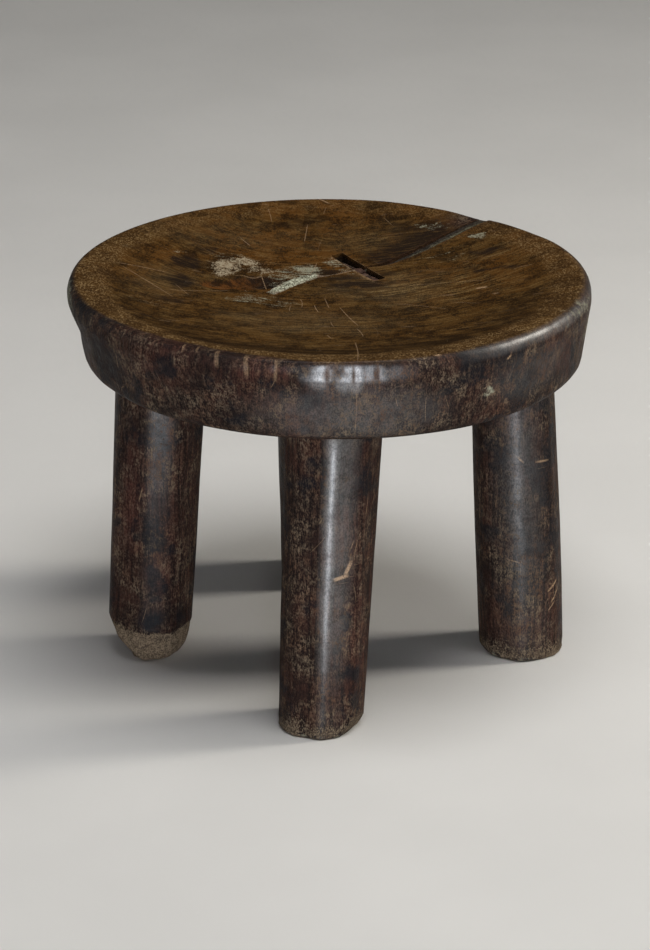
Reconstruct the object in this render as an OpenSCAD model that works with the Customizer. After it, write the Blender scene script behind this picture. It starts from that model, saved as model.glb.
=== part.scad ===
// Round dished stool with four stout legs, carved from one length of trunk.
// A drying check runs from the pith to the rim. It is filled, and an iron cramp is let in across it.
// The origin is on the floor under the middle of the seat, +Z is up, and -Y is the front.

/* [Seat] */
// Widest width across the seat
seat_d = 320; // [290:1:350]
// Height from the floor to the crest of the rim
stool_h = 247; // [225:1:290]
// Thickness of the seat at its edge
seat_t = 51; // [44:1:60]
// Depth of the dish below the crest of the rim
dish_depth = 16; // [10:0.5:18]
// Width of the border between the dish and the rim's crest
border_w = 16; // [10:1:24]
// How far the border falls towards the dish
border_drop = 2; // [1:0.25:4]
// Width of the rounding outside the crest
rim_round_w = 5.5; // [3:0.5:8]
// Height of the rounding outside the crest
rim_round_h = 9; // [5:0.5:12]
// Height of the upright band under the rim's rounding
band_h = 2; // [1:0.5:5]
// How far the side draws in from the band to the underside
side_draw = 8.5; // [6:0.5:14]
// How far the underside's middle lies to the right of the seat's
side_lean = 3; // [0:0.2:5]
// Rounding between the side and the underside
under_round = 8; // [3:0.5:9]

/* [Legs] */
// Distance from the stool's axis to a leg's middle, at the seat
leg_ring = 107; // [100:1:110]
// How much further out a foot stands than the leg's top
leg_splay = 8; // [2:1:14]
// Diameter of a leg under the seat
leg_top_d = 56; // [48:1:60]
// Diameter of a leg halfway down
leg_mid_d = 54; // [46:1:58]
// Diameter of a leg at the foot
leg_foot_d = 52; // [44:1:56]
// Width of the cove where a leg grows out of the seat
root_cove = 3; // [1:0.5:4]
// Rounding round the edge of a foot
foot_round = 1.5; // [1:0.25:4]
// Height of the left foot's steep worn side
worn_h = 32; // [16:1:40]
// Height of the left foot's worn heel, below the steep side
heel_h = 21; // [8:1:26]
// Height of the rounding that wear left round the left foot
worn_round_h = 20; // [8:1:24]
// Width of that rounding
worn_round_w = 7; // [4:0.5:9]
// Height of the chip out of the front foot's right side
chip_h = 12; // [6:1:18]

/* [Check in the seat] */
// Width of the check at the rim
check_rim_w = 9; // [6:0.5:11]
// Width of the check at the cramp
check_neck_w = 1.6; // [1.2:0.1:3]
// Width of the check where it opens at the pith
check_pith_w = 9; // [6:0.5:12]
// Depth of the check below the lowest point of the dish
check_depth = 10; // [6:0.5:14]
// Depth of the worn bank on the check's left side, at the rim
bank_depth = 2.4; // [1.5:0.1:3.5]
// Radius of the scoop that wear has left in that bank
bank_r = 80; // [50:5:120]

/* [Hollow at the pith] */
// Radius of the balls that fit the hollow
hollow_ball_r = 20; // [16:1:28]
// Depth of the hollow at its deepest
hollow_depth = 5.5; // [4:0.25:8]

/* [Iron cramp] */
// Length of the slot cut for the cramp
slot_l = 49; // [40:1:60]
// Width of the slot
slot_w = 8.5; // [7:0.25:11]
// Depth of the slot's floor below the dish at the cramp
slot_depth = 5; // [4:0.25:7]
// Thickness of the cramp's iron
cramp_t = 2.2; // [1.5:0.1:3]
// Width of the cramp's iron
cramp_w = 6.5; // [4:0.25:6.75]
// Length of the prongs below the strap
prong_l = 17; // [10:0.5:18]
// Length of the fill that bridges the cramp
bridge_l = 10; // [6:0.5:16]

/* [Fills] */
// Gap between the grey fill and the check's right side
fill_gap = 0.8; // [0.4:0.1:1.4]
// How far the grey fill lies below the seat's surface
fill_sink = 1.6; // [0.5:0.1:2.2]
// How far the pale fill stands above the seat's surface
fill_proud = 0.5; // [0:0.1:1.2]

/* [Hidden] */
$fn = 96;

// What the cutting tools overlap beyond a face, so that no thin skin is left
over = 1;
// Free space round the iron in its slot, at each end
cramp_end_gap = 1.2;
// Seat: radii and heights worked out from the driving sizes
seat_r = seat_d / 2;
crest_r = seat_r - rim_round_w;
dish_r = crest_r - border_w;
under_z = stool_h - seat_t;
widest_z = stool_h - rim_round_h;
side_top_z = widest_z - band_h;
under_r = seat_r - side_draw;
dish_low_z = stool_h - dish_depth;
// Shape of the dish: 2 is a parabola, and more makes a flatter middle with steeper sides
dish_power = 2.4;
border_power = 1.5;
dish_steps = 16;
border_steps = 4;
round_steps = 8;
// Lengths of the cut solids, well past the stool
reach = 2 * seat_d;

// Legs, each carved a little differently: front, right, back, left
leg_turn = [270, 0, 90, 180];
leg_ring_more = [2, 5.5, -1, -4];
leg_splay_more = [-2, 2.5, 1, 2.5];
leg_side_top = [3, 0, 8, 0];
leg_side_foot = [-4, 1, 6, 7];
leg_top_more = [2, -6, 0, 1];
leg_mid_more = [0, -0.5, 0, 0.5];
leg_foot_more = [-1, 1, -1, 0];
// How far a leg's own solid runs up into the seat, and down past the floor before it is cut flat
root_h = 8;
foot_dip = 3.5;
leg_steps = 12;
cove_steps = 6;
// Wear on the feet: which leg, which way each worn face looks, and its lean from upright
front_leg = 0;
left_leg = 3;
worn_turn = 190;
worn_lean = 20;
heel_lean = 45;
chip_turn = -28;
chip_lean = 30;

// Places on the seat's plan are shares of its radius.
// The check's line, from the pith, past the cramp, to beyond the rim
check_line = seat_r * [
    [-0.225, 0.0625], [-0.15, 0.1813], [-0.0688, 0.2625], [-0.0063, 0.275], [0.1188, 0.35],
    [0.225, 0.3906], [0.3625, 0.5063], [0.575, 0.7125], [0.75, 0.8813],
];
check_wide = concat([0.65, 1, 0.9] * check_pith_w, [1, 1] * check_neck_w, [0.5, 0.8, 1, 1.1] * check_rim_w);
check_floor_z = dish_low_z - check_depth;
pith = 0;
at_cramp = 4;
past_rim = 8;
// Where the scoop in the left bank starts, as a share of the seat's radius
bank_start = 0.66;

// Hollow: balls along its length, as [share of the full depth, place on the plan]
hollow_balls = [
    [0.6, seat_r * [-0.4313, 0.1188]],
    [0.85, seat_r * [-0.3313, 0.15]],
    [1, seat_r * [-0.2625, 0.1813]],
];

// Cramp: its middle and the way it lies, square across the check
cramp_at = seat_r * [0.1125, 0.3563];
cramp_turn = 123;
cramp_z = top_z(norm(cramp_at));
slot_floor_z = cramp_z - slot_depth;
cramp_l = slot_l - 2 * cramp_end_gap;
prong_tip = 0.35;
bridge_top_z = cramp_z - fill_sink;

// Height of the seat's top at a distance from the middle
function top_z(r) =
    r < dish_r
    ? stool_h - border_drop - (dish_depth - border_drop) * (1 - pow(r / dish_r, dish_power))
    : stool_h - border_drop * pow((crest_r - min(r, crest_r)) / (crest_r - dish_r), border_power);

// The top and the rim's rounding as a line from the middle outwards, raised by lift
function top_line(lift) = concat(
    [for (i = [0:dish_steps]) let (r = dish_r * i / dish_steps) [r, top_z(r) + lift]],
    [for (i = [1:border_steps]) let (r = dish_r + border_w * i / border_steps) [r, top_z(r) + lift]],
    [for (i = [1:round_steps]) let (a = 90 * i / round_steps)
        [crest_r + rim_round_w * sin(a), stool_h - rim_round_h * (1 - cos(a)) + lift]]
);

// Unit direction of the check's line at a station
function line_dir(i) =
    let (a = check_line[max(i - 1, 0)], b = check_line[min(i + 1, past_rim)]) (b - a) / norm(b - a);

// A bank of the check: side is 1 for the left and -1 for the right, and inset moves it inwards
function bank(first, last, side, inset) =
    [for (i = [first:last]) let (d = line_dir(i), w = check_wide[i] / 2 - inset)
        check_line[i] + side * w * [-d[1], d[0]]];

function reversed(list) = [for (i = [len(list) - 1:-1:0]) list[i]];

// Radius of a leg at a share of its height, through its foot, middle and top sizes
function leg_r(k, s) =
    let (rf = (leg_foot_d + leg_foot_more[k]) / 2, rm = (leg_mid_d + leg_mid_more[k]) / 2,
         rt = (leg_top_d + leg_top_more[k]) / 2)
    rf * (1 - s) * (1 - 2 * s) + rm * 4 * s * (1 - s) + rt * s * (2 * s - 1);

// Middle of a leg at the floor and under the seat
function leg_point(k, ring, side) =
    let (a = leg_turn[k]) [ring * cos(a) - side * sin(a), ring * sin(a) + side * cos(a)];
function leg_top(k) = leg_point(k, leg_ring + leg_ring_more[k], leg_side_top[k]);
function leg_foot(k) =
    leg_point(k, leg_ring + leg_ring_more[k] + leg_splay + leg_splay_more[k], leg_side_foot[k]);

// Everything below the seat's top, raised by lift
module under_top(lift) {
    rotate_extrude()
        polygon(concat([[0, under_z - over]], top_line(lift), [[seat_r, under_z - over]]));
}

// The side: a cone with its point deep below, tilted so that the left side draws in more than the right
module leaning_side() {
    rise = side_top_z - under_z;
    left = atan((side_draw + side_lean) / rise);
    right = atan((side_draw - side_lean) / rise);
    half = (left + right) / 2;
    deep = under_r * rise / side_draw;
    long = deep + 2.5 * seat_t;
    translate([side_lean * (1 + under_r / side_draw), 0, under_z - deep])
        rotate([0, (right - left) / 2, 0])
            cylinder(h = long, r1 = 0, r2 = long * tan(half));
}

// The rounding between the side and the underside, about the underside's own middle
module rounded_pan() {
    wall = atan(side_draw / (side_top_z - under_z));
    last = 90 - wall;
    start = under_r - under_round * (sin(last) - (1 - cos(last)) * tan(wall));
    translate([side_lean, 0, under_z])
        rotate_extrude()
            polygon(concat(
                [[0, 0]],
                [for (i = [0:round_steps]) let (a = last * i / round_steps)
                    [start + under_round * sin(a), under_round * (1 - cos(a))]],
                [[under_r + 2 * seat_t, 2 * seat_t], [0, 2 * seat_t]]
            ));
}

module seat_blank() {
    intersection() {
        under_top(0);
        leaning_side();
        rounded_pan();
    }
}

// One leg's outline, turned about its own line and then leant and placed
module leg(k) {
    foot = leg_foot(k);
    top = leg_top(k);
    run = [top[0] - foot[0], top[1] - foot[1], under_z];
    long = norm(run);
    lean = acos(under_z / long);
    foot_r = leg_r(k, 0);
    top_r = leg_r(k, 1);
    cove_h = 2.5 * root_cove;
    edge_w = k == left_leg ? worn_round_w : foot_round;
    edge_h = k == left_leg ? worn_round_h : foot_round;
    outline = concat(
        [[0, -foot_dip], [foot_r - edge_w, -foot_dip]],
        [for (i = [0:round_steps]) let (a = 90 * i / round_steps)
            [leg_r(k, edge_h / long) - edge_w * (1 - sin(a)), edge_h * (1 - cos(a))]],
        [for (i = [1:leg_steps]) let (s = edge_h / long + (1 - (edge_h + cove_h) / long) * i / leg_steps)
            [leg_r(k, s), s * long]],
        [for (i = [1:cove_steps]) let (a = 80 * i / cove_steps)
            [top_r + root_cove * (1 - cos(a)), long - cove_h + cove_h * sin(a) / sin(80)]],
        [[top_r + root_cove * (1 - cos(80)), long + root_h], [0, long + root_h]]
    );
    translate([foot[0], foot[1], 0])
        rotate(a = lean, v = [-run[1], run[0], 0])
            rotate_extrude() polygon(outline);
}

// What wear takes off a foot: a flat face that starts at a height on the foot's edge and leans in below
module worn_face(k, high, turn, lean) {
    foot = leg_foot(k);
    out = leg_r(k, 0);
    translate([foot[0] + out * cos(turn), foot[1] + out * sin(turn), high])
        rotate([0, 0, turn])
            rotate([0, lean, 0])
                translate([0, -leg_foot_d, -stool_h])
                    cube([stool_h, 2 * leg_foot_d, stool_h]);
}

module legs() {
    difference() {
        union() {
            for (k = [0:3]) leg(k);
        }
        translate([-reach, -reach, -reach]) cube([2 * reach, 2 * reach, reach]);
        worn_face(left_leg, worn_h, worn_turn, worn_lean);
        worn_face(left_leg, heel_h, worn_turn, heel_lean);
        worn_face(front_leg, chip_h, chip_turn, chip_lean);
    }
}

// The check between two of its stations, as an upright solid; gap leaves its right side open
module check_slice(first, last, gap) {
    translate([0, 0, check_floor_z])
        linear_extrude(height = stool_h + reach / 8 - check_floor_z)
            polygon(concat(bank(first, last, 1, 0), reversed(bank(first, last, -1, gap))));
}

// The left bank, worn to a shallow scoop that deepens towards the rim
module worn_bank() {
    rim = crest_r * check_line[past_rim - 1] / norm(check_line[past_rim - 1]);
    low = rim * bank_start;
    run = norm(rim - low);
    rise = atan((stool_h - bank_depth - top_z(norm(low))) / run);
    turn = atan2(rim[1], rim[0]);
    intersection() {
        translate([rim[0], rim[1], stool_h - bank_depth])
            rotate([0, 0, turn])
                rotate([0, 90 - rise, 0])
                    translate([-bank_r, 0, -run])
                        cylinder(h = 2 * run, r = bank_r, $fn = 192);
        linear_extrude(height = 2 * stool_h)
            polygon([
                check_line[at_cramp], check_line[past_rim - 2],
                check_line[past_rim - 1], check_line[past_rim],
                check_line[past_rim] + [-bank_r, bank_r], check_line[at_cramp] + [-bank_r, bank_r],
            ]);
    }
}

module cramp_slot() {
    translate([cramp_at[0], cramp_at[1], slot_floor_z])
        rotate([0, 0, cramp_turn])
            translate([-slot_l / 2, -slot_w / 2, 0])
                cube([slot_l, slot_w, seat_t]);
}

// One prong, pointed, with its outer face at the strap's end; side is 1 or -1
module prong(side) {
    reach_l = cramp_l / 2;
    rotate([90, 0, 0])
        linear_extrude(height = cramp_w, center = true)
            polygon([
                [side * reach_l, 0],
                [side * (reach_l - cramp_t), 0],
                [side * (reach_l - cramp_t), -prong_l * (1 - prong_tip)],
                [side * reach_l, -prong_l],
            ]);
}

module hollow() {
    for (b = hollow_balls) {
        translate([b[1][0], b[1][1], top_z(norm(b[1])) - hollow_depth * b[0] + hollow_ball_r])
            sphere(r = hollow_ball_r);
    }
}

module on_cramp() {
    translate([cramp_at[0], cramp_at[1], slot_floor_z]) rotate([0, 0, cramp_turn]) children();
}

// Seat and legs: one piece of wood
module carved_block() {
    color("#3a2a20")
    difference() {
        union() {
            seat_blank();
            legs();
        }
        check_slice(pith, past_rim, 0);
        worn_bank();
        cramp_slot();
        on_cramp() {
            prong(1);
            prong(-1);
        }
        hollow();
    }
}

// Flat iron strap with a prong driven down at each end
module iron_cramp() {
    color("#2b201a")
    on_cramp() {
        translate([-cramp_l / 2, -cramp_w / 2, 0]) cube([cramp_l, cramp_w, cramp_t]);
        prong(1);
        prong(-1);
    }
}

// Grey resin in the check, from the cramp's slot out to the rim
module grey_check_fill() {
    color("#5d5a50")
    difference() {
        intersection() {
            check_slice(at_cramp - 1, past_rim, fill_gap);
            under_top(-fill_sink);
            leaning_side();
        }
        worn_bank();
        cramp_slot();
        inner_side();
    }
}

// Pale clay from the cramp's slot in to the pith
module pale_pith_fill() {
    color("#c8c2a4")
    difference() {
        intersection() {
            check_slice(pith, at_cramp + 1, 0);
            under_top(fill_proud);
            inner_side();
        }
        cramp_slot();
    }
}

// Everything on the pith's side of the cramp's middle line
module inner_side() {
    on_cramp() translate([-reach / 2, 0, -reach / 2]) cube([reach, reach / 2, reach]);
}

// Dark resin over the cramp where the check crosses it
module cramp_bridge_fill() {
    color("#6a4a3c")
    on_cramp()
        translate([-bridge_l / 2, -slot_w / 2, cramp_t])
            cube([bridge_l, slot_w, bridge_top_z - slot_floor_z - cramp_t]);
}

carved_block();
iron_cramp();
grey_check_fill();
pale_pith_fill();
cramp_bridge_fill();
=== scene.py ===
import logging
import math
from dataclasses import dataclass
from enum import Enum

import bpy
import numpy as np
from mathutils import Matrix, Vector


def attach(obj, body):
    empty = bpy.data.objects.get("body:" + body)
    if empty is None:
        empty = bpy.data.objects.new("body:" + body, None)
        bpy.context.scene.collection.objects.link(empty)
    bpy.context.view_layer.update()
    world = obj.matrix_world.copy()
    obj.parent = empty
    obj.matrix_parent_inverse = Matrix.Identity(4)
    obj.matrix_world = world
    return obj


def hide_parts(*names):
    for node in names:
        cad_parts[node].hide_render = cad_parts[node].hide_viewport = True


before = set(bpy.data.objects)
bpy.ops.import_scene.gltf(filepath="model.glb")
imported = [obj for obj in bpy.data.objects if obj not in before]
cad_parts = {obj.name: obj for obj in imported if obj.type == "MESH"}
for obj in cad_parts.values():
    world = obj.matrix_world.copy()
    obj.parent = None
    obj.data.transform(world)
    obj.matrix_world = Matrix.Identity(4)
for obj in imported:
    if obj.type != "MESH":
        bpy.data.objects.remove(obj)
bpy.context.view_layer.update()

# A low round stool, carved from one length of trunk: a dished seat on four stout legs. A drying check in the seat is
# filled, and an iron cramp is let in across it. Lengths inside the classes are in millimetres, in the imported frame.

MM = 0.001
FULL_TURN = 2 * math.pi
FAR = 40.0  # a gap that no line's width reaches
MIXERS = (73856093, 19349663, 83492791, 2654435761, 1274126177, 2246822519)  # large odd numbers that mix bits well
ROOT = "root"
LOG = logging.getLogger("stool")
Array = np.ndarray
Rows = tuple[tuple[float, ...], ...]
Colour = tuple[float, float, float]


class Slot(Enum):
    """The record's material slots."""

    WOOD = "patinated_wood"
    IRON = "rusted_iron"
    GREY = "grey_fill"
    PALE = "pale_fill"
    BROWN = "brown_fill"


class Axis(Enum):
    """How a grain or a set of streaks runs, as the stretch of a noise along x, y and z."""

    ACROSS = (0.012, 0.17, 0.1)
    FINE_ACROSS = (0.03, 0.5, 0.3)
    UPRIGHT = (0.5, 0.5, 0.03)
    GRAIN_TOP = (0.95, 0.5, 0.8)
    ALONG_CHECK = (0.06, 0.8, 0.8)
    HAIRS = (0.012, 0.16, 0.0)


def ease(low: float, high: float, value: Array) -> Array:
    """Smooth step: with t the share of the way from low to high, held to 0 and 1, the result is 3tt - 2ttt."""
    t = np.clip((value - low) / (high - low), 0.0, 1.0)
    return t * t * (3.0 - 2.0 * t)


def steady_random(cells: Array, seed: int) -> Array:
    """A fixed random number from -1 to 1 for each whole-numbered cell, by mixing its three coordinates' bits."""
    for_x, for_y, for_z, for_seed, first, second = MIXERS
    c = cells.astype(np.int64).astype(np.uint32)
    h = c[:, 0] * np.uint32(for_x) ^ c[:, 1] * np.uint32(for_y) ^ c[:, 2] * np.uint32(for_z)
    h = h ^ np.uint32(seed * for_seed % 2**32)
    h = (h ^ (h >> np.uint32(13))) * np.uint32(first)
    h = (h ^ (h >> np.uint32(16))) * np.uint32(second)
    return (h ^ (h >> np.uint32(15))) / (2**31 - 0.5) - 1.0


def lumps(points: Array, cell: float, seed: int, octaves: int = 2) -> Array:
    """Lattice noise from -1 to 1: random corner values blended by smooth steps, each octave half as wide and strong.

    Args:
        points: places as (n, 3).
        cell: the first octave's cell, in the same unit.
        seed: picks the pattern.
        octaves: how many layers are summed.

    Returns:
        One value for each point.
    """
    total, weight, strength = np.zeros(len(points)), 0.0, 1.0
    for octave in range(octaves):
        place = points * (2.0**octave / cell) + 17.3 * (octave + 1)
        base = np.floor(place)
        share = place - base
        share = share * share * (3.0 - 2.0 * share)
        for corner in np.ndindex(2, 2, 2):
            pull = np.prod(np.where(corner, share, 1.0 - share), axis=1)
            total += strength * pull * steady_random(base + corner, seed + 7 * octave)
        weight += strength
        strength *= 0.5
    return total / weight


def on_plan(x: Array, y: Array) -> Array:
    """Points (n, 3) from plan places, at height nought, for noise that varies over the plan only."""
    return np.stack([x, y, np.zeros_like(x)], axis=-1)


def round_about(count: int) -> Array:
    """Evenly spaced angles once round, in radians."""
    return np.linspace(0, FULL_TURN, count, endpoint=False)


def squared(wave: Array, power: float) -> Array:
    """One coordinate of a superellipse: a sine or cosine whose size is raised to a power, with its own sign."""
    return np.sign(wave) * np.abs(wave) ** power


def smooth_line(stations: Array, count: int) -> Array:
    """Catmull-Rom curve through the stations: on each span the cubic whose end slopes are half the neighbours' gap."""
    t = np.linspace(0.0, len(stations) - 1.0, count)
    i = np.minimum(t.astype(int), len(stations) - 2)
    f = (t - i)[:, None]
    ends = np.concatenate([2 * stations[:1] - stations[1:2], stations, 2 * stations[-1:] - stations[-2:-1]])
    a, b, c, d = (ends[i + k] for k in range(4))
    return 0.5 * (2 * b + (c - a) * f + (2 * a - 5 * b + 4 * c - d) * f**2 + (3 * b - a - 3 * c + d) * f**3)


def run_and_side(line: Array) -> tuple[Array, Array]:
    """For a plane line as (n, 2): the unit vectors along it, and those to its left."""
    run = np.gradient(line, axis=0)
    run /= np.linalg.norm(run, axis=1)[:, None]
    return run, np.column_stack([-run[:, 1], run[:, 0]])


def closed_skin(rings: Array, first: Array | None = None, last: Array | None = None) -> tuple[Array, list[list[int]]]:
    """A closed skin over rings of points, with a fan to one point at each end, turned so that its volume is positive.

    Args:
        rings: (rows, columns, 3), each row a closed loop.
        first: the point that closes the first ring, or its middle when none is given.
        last: the same for the last ring.

    Returns:
        The points (n, 3) and the faces as lists of indices.
    """
    first = rings[0].mean(0) if first is None else first
    last = rings[-1].mean(0) if last is None else last
    rows, columns = rings.shape[:2]
    index = 1 + np.arange(rows * columns).reshape(rows, columns)
    after = np.roll(index, -1, axis=1)
    points = np.concatenate([first[None], rings.reshape(-1, 3), last[None]])
    quads = np.stack([index[:-1], index[1:], after[1:], after[:-1]], axis=-1).reshape(-1, 4)
    start, end = np.zeros(columns, int), np.full(columns, rows * columns + 1)
    fans = np.concatenate([np.stack([start, index[0], after[0]], 1), np.stack([end, after[-1], index[-1]], 1)])
    flat = np.concatenate([fans, quads[:, :3], quads[:, [0, 2, 3]]])
    a, b, c = (points[flat[:, k]] for k in range(3))
    if np.einsum("ij,ij->", a, np.cross(b, c)) < 0:
        quads, fans = quads[:, ::-1], fans[:, ::-1]
    return points, quads.tolist() + fans.tolist()


def add_object(name: str, data: bpy.types.ID) -> bpy.types.Object:
    """A new object in the scene, at the origin."""
    made = bpy.data.objects.new(name, data)
    bpy.context.scene.collection.objects.link(made)
    return made


def make_piece(name: str, points: Array, faces: list[list[int]]) -> bpy.types.Object:
    """A mesh object at the origin from points in millimetres and faces, shaded smooth."""
    mesh = bpy.data.meshes.new(name)
    mesh.from_pydata((points * MM).tolist(), [], faces)
    mesh.shade_smooth()
    return add_object(name, mesh)


def apply_boolean(target: bpy.types.Object, tool: bpy.types.Object, operation: str) -> None:
    """Unites the tool with the target, or cuts it out, keeps the result as the target's mesh and removes the tool."""
    cut = target.modifiers.new("cut", "BOOLEAN")
    cut.operation, cut.solver, cut.object = operation, "MANIFOLD", tool
    graph = bpy.context.evaluated_depsgraph_get()
    mesh = bpy.data.meshes.new_from_object(target.evaluated_get(graph))
    target.modifiers.remove(cut)
    old, target.data = target.data, mesh
    bpy.data.meshes.remove(old)
    bpy.data.objects.remove(tool)


def read_points(mesh: bpy.types.Mesh, what: str) -> Array:
    """What each of the mesh's points keeps, "co" for its place in metres or "normal", as (n, 3)."""
    flat = np.empty(len(mesh.vertices) * 3, np.float32)
    mesh.vertices.foreach_get(what, flat)
    return flat.reshape(-1, 3).astype(float)


def store(mesh: bpy.types.Mesh, name: str, values: Array) -> None:
    """Keeps one number on each point, for a material to read."""
    mesh.attributes.new(name, "FLOAT", "POINT").data.foreach_set("value", values.astype(np.float32))


def store_mask(mesh: bpy.types.Mesh, name: str, values: Array) -> None:
    """Keeps one number from 0 to 1 on each point."""
    store(mesh, name, np.clip(values, 0, 1))


def enlist(piece: bpy.types.Object, node: str, slot: Slot, material: bpy.types.Material) -> None:
    """Dresses a piece, rides it on the stool's body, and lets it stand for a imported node."""
    piece.data.materials.clear()
    piece.data.materials.append(material)
    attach(piece, ROOT)
    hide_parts(node)
    LOG.info("%s: %d faces, stands for %s", piece.name, len(piece.data.polygons), node)


@dataclass(frozen=True)
class Patches:
    """Soft-edged patches on the wood. A row is a patch's middle x, y and z, its half-sizes along them, and its
    strength. Noise from the seed first shifts places by up to the wander, so that outlines come out ragged."""

    wander: float
    seed: int
    rows: Rows
    cell: float = 9.0

    def mask(self, points: Array) -> Array:
        """The strongest patch at each point: its strength at its middle, falling by a smooth step to 0 at its edge.

        Args:
            points: places as (n, 3).

        Returns:
            One value for each point.
        """
        shift = np.stack([lumps(points, self.cell, self.seed + k, 3) for k in range(3)], axis=-1) * self.wander
        mask = np.zeros(len(points))
        for *middle, wide, deep, high, strength in self.rows:
            away = np.linalg.norm((points + shift - middle) / np.array((wide, deep, high)), axis=1)
            mask = np.maximum(mask, strength * ease(1.0, 0.25, away))
        return mask


@dataclass(frozen=True)
class CheckLine:
    """The drying check's winding line, from the pith to beyond the rim, as (x, y, width)."""

    stations: Rows = (
        (-36, 10, 5.85), (-24, 29, 9), (-11, 42, 8.1), (-1, 44, 1.6), (19, 56, 1.6), (36, 62.5, 4.5), (58, 81, 7.2),
        (92, 114, 9), (120, 141, 9.9),
    )
    floor: float = 221.0
    # The slices of the cutter, from its floor up to above the seat, as (height, share of the width)
    slices: Rows = ((221.0, 0.75), (226.0, 0.9), (230.0, 1.0), (262.0, 1.0))
    samples: int = 300

    def line(self) -> tuple[Array, Array, Array]:
        """The line's samples as (x, y, width), with the unit vectors along it and to its left."""
        line = smooth_line(np.array(self.stations, float), self.samples)
        return line, *run_and_side(line[:, :2])

    def banks(self) -> tuple[Array, Array]:
        """Left and right bank as (samples, 2): the line, half its width to either side, and a ragged wander."""
        line, _, side = self.line()
        half = line[:, 2:] / 2
        banks = []
        for sign, seed in ((1, 31), (-1, 47)):
            edge = line[:, :2] + sign * half * side
            plan = on_plan(edge[:, 0], edge[:, 1])
            ragged = 0.45 * lumps(plan, 13.0, seed) + 0.22 * lumps(plan, 2.6, seed + 3)
            banks.append(edge + sign * side * (ragged * np.minimum(half[:, 0] / 3.0, 1.0))[:, None])
        return banks[0], banks[1]

    def measure(self, points: Array) -> tuple[Array, Array, Array]:
        """Where points lie beside the line: the nearest sample's share of it, and the signed distance to it.

        Args:
            points: places as (n, 3).

        Returns:
            The share of the line, the distance (positive on the left), and the check's half width there.
        """
        line, run, _ = self.line()
        nearest = np.empty(len(points), int)
        for part in np.array_split(np.arange(len(points)), 40):
            gaps = points[part, None, :2] - line[None, :, :2]
            nearest[part] = np.argmin(np.einsum("ijk,ijk->ij", gaps, gaps), axis=1)
        gap = points[:, :2] - line[nearest, :2]
        turn = run[nearest, 0] * gap[:, 1] - run[nearest, 1] * gap[:, 0]
        return nearest / (self.samples - 1.0), np.sign(turn) * np.linalg.norm(gap, axis=1), line[nearest, 2] / 2

    def cutter(self) -> bpy.types.Object:
        """The check as a solid to cut with: at each sample an upright slice between the banks, narrower below."""
        left, right = self.banks()
        middle = (left + right) / 2
        loops = [np.column_stack([middle + (bank - middle) * share, np.full(len(bank), height)])
                 for bank, slices in ((left, self.slices), (right, self.slices[::-1])) for height, share in slices]
        return make_piece("check_cutter", *closed_skin(np.stack(loops, axis=1)))


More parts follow.
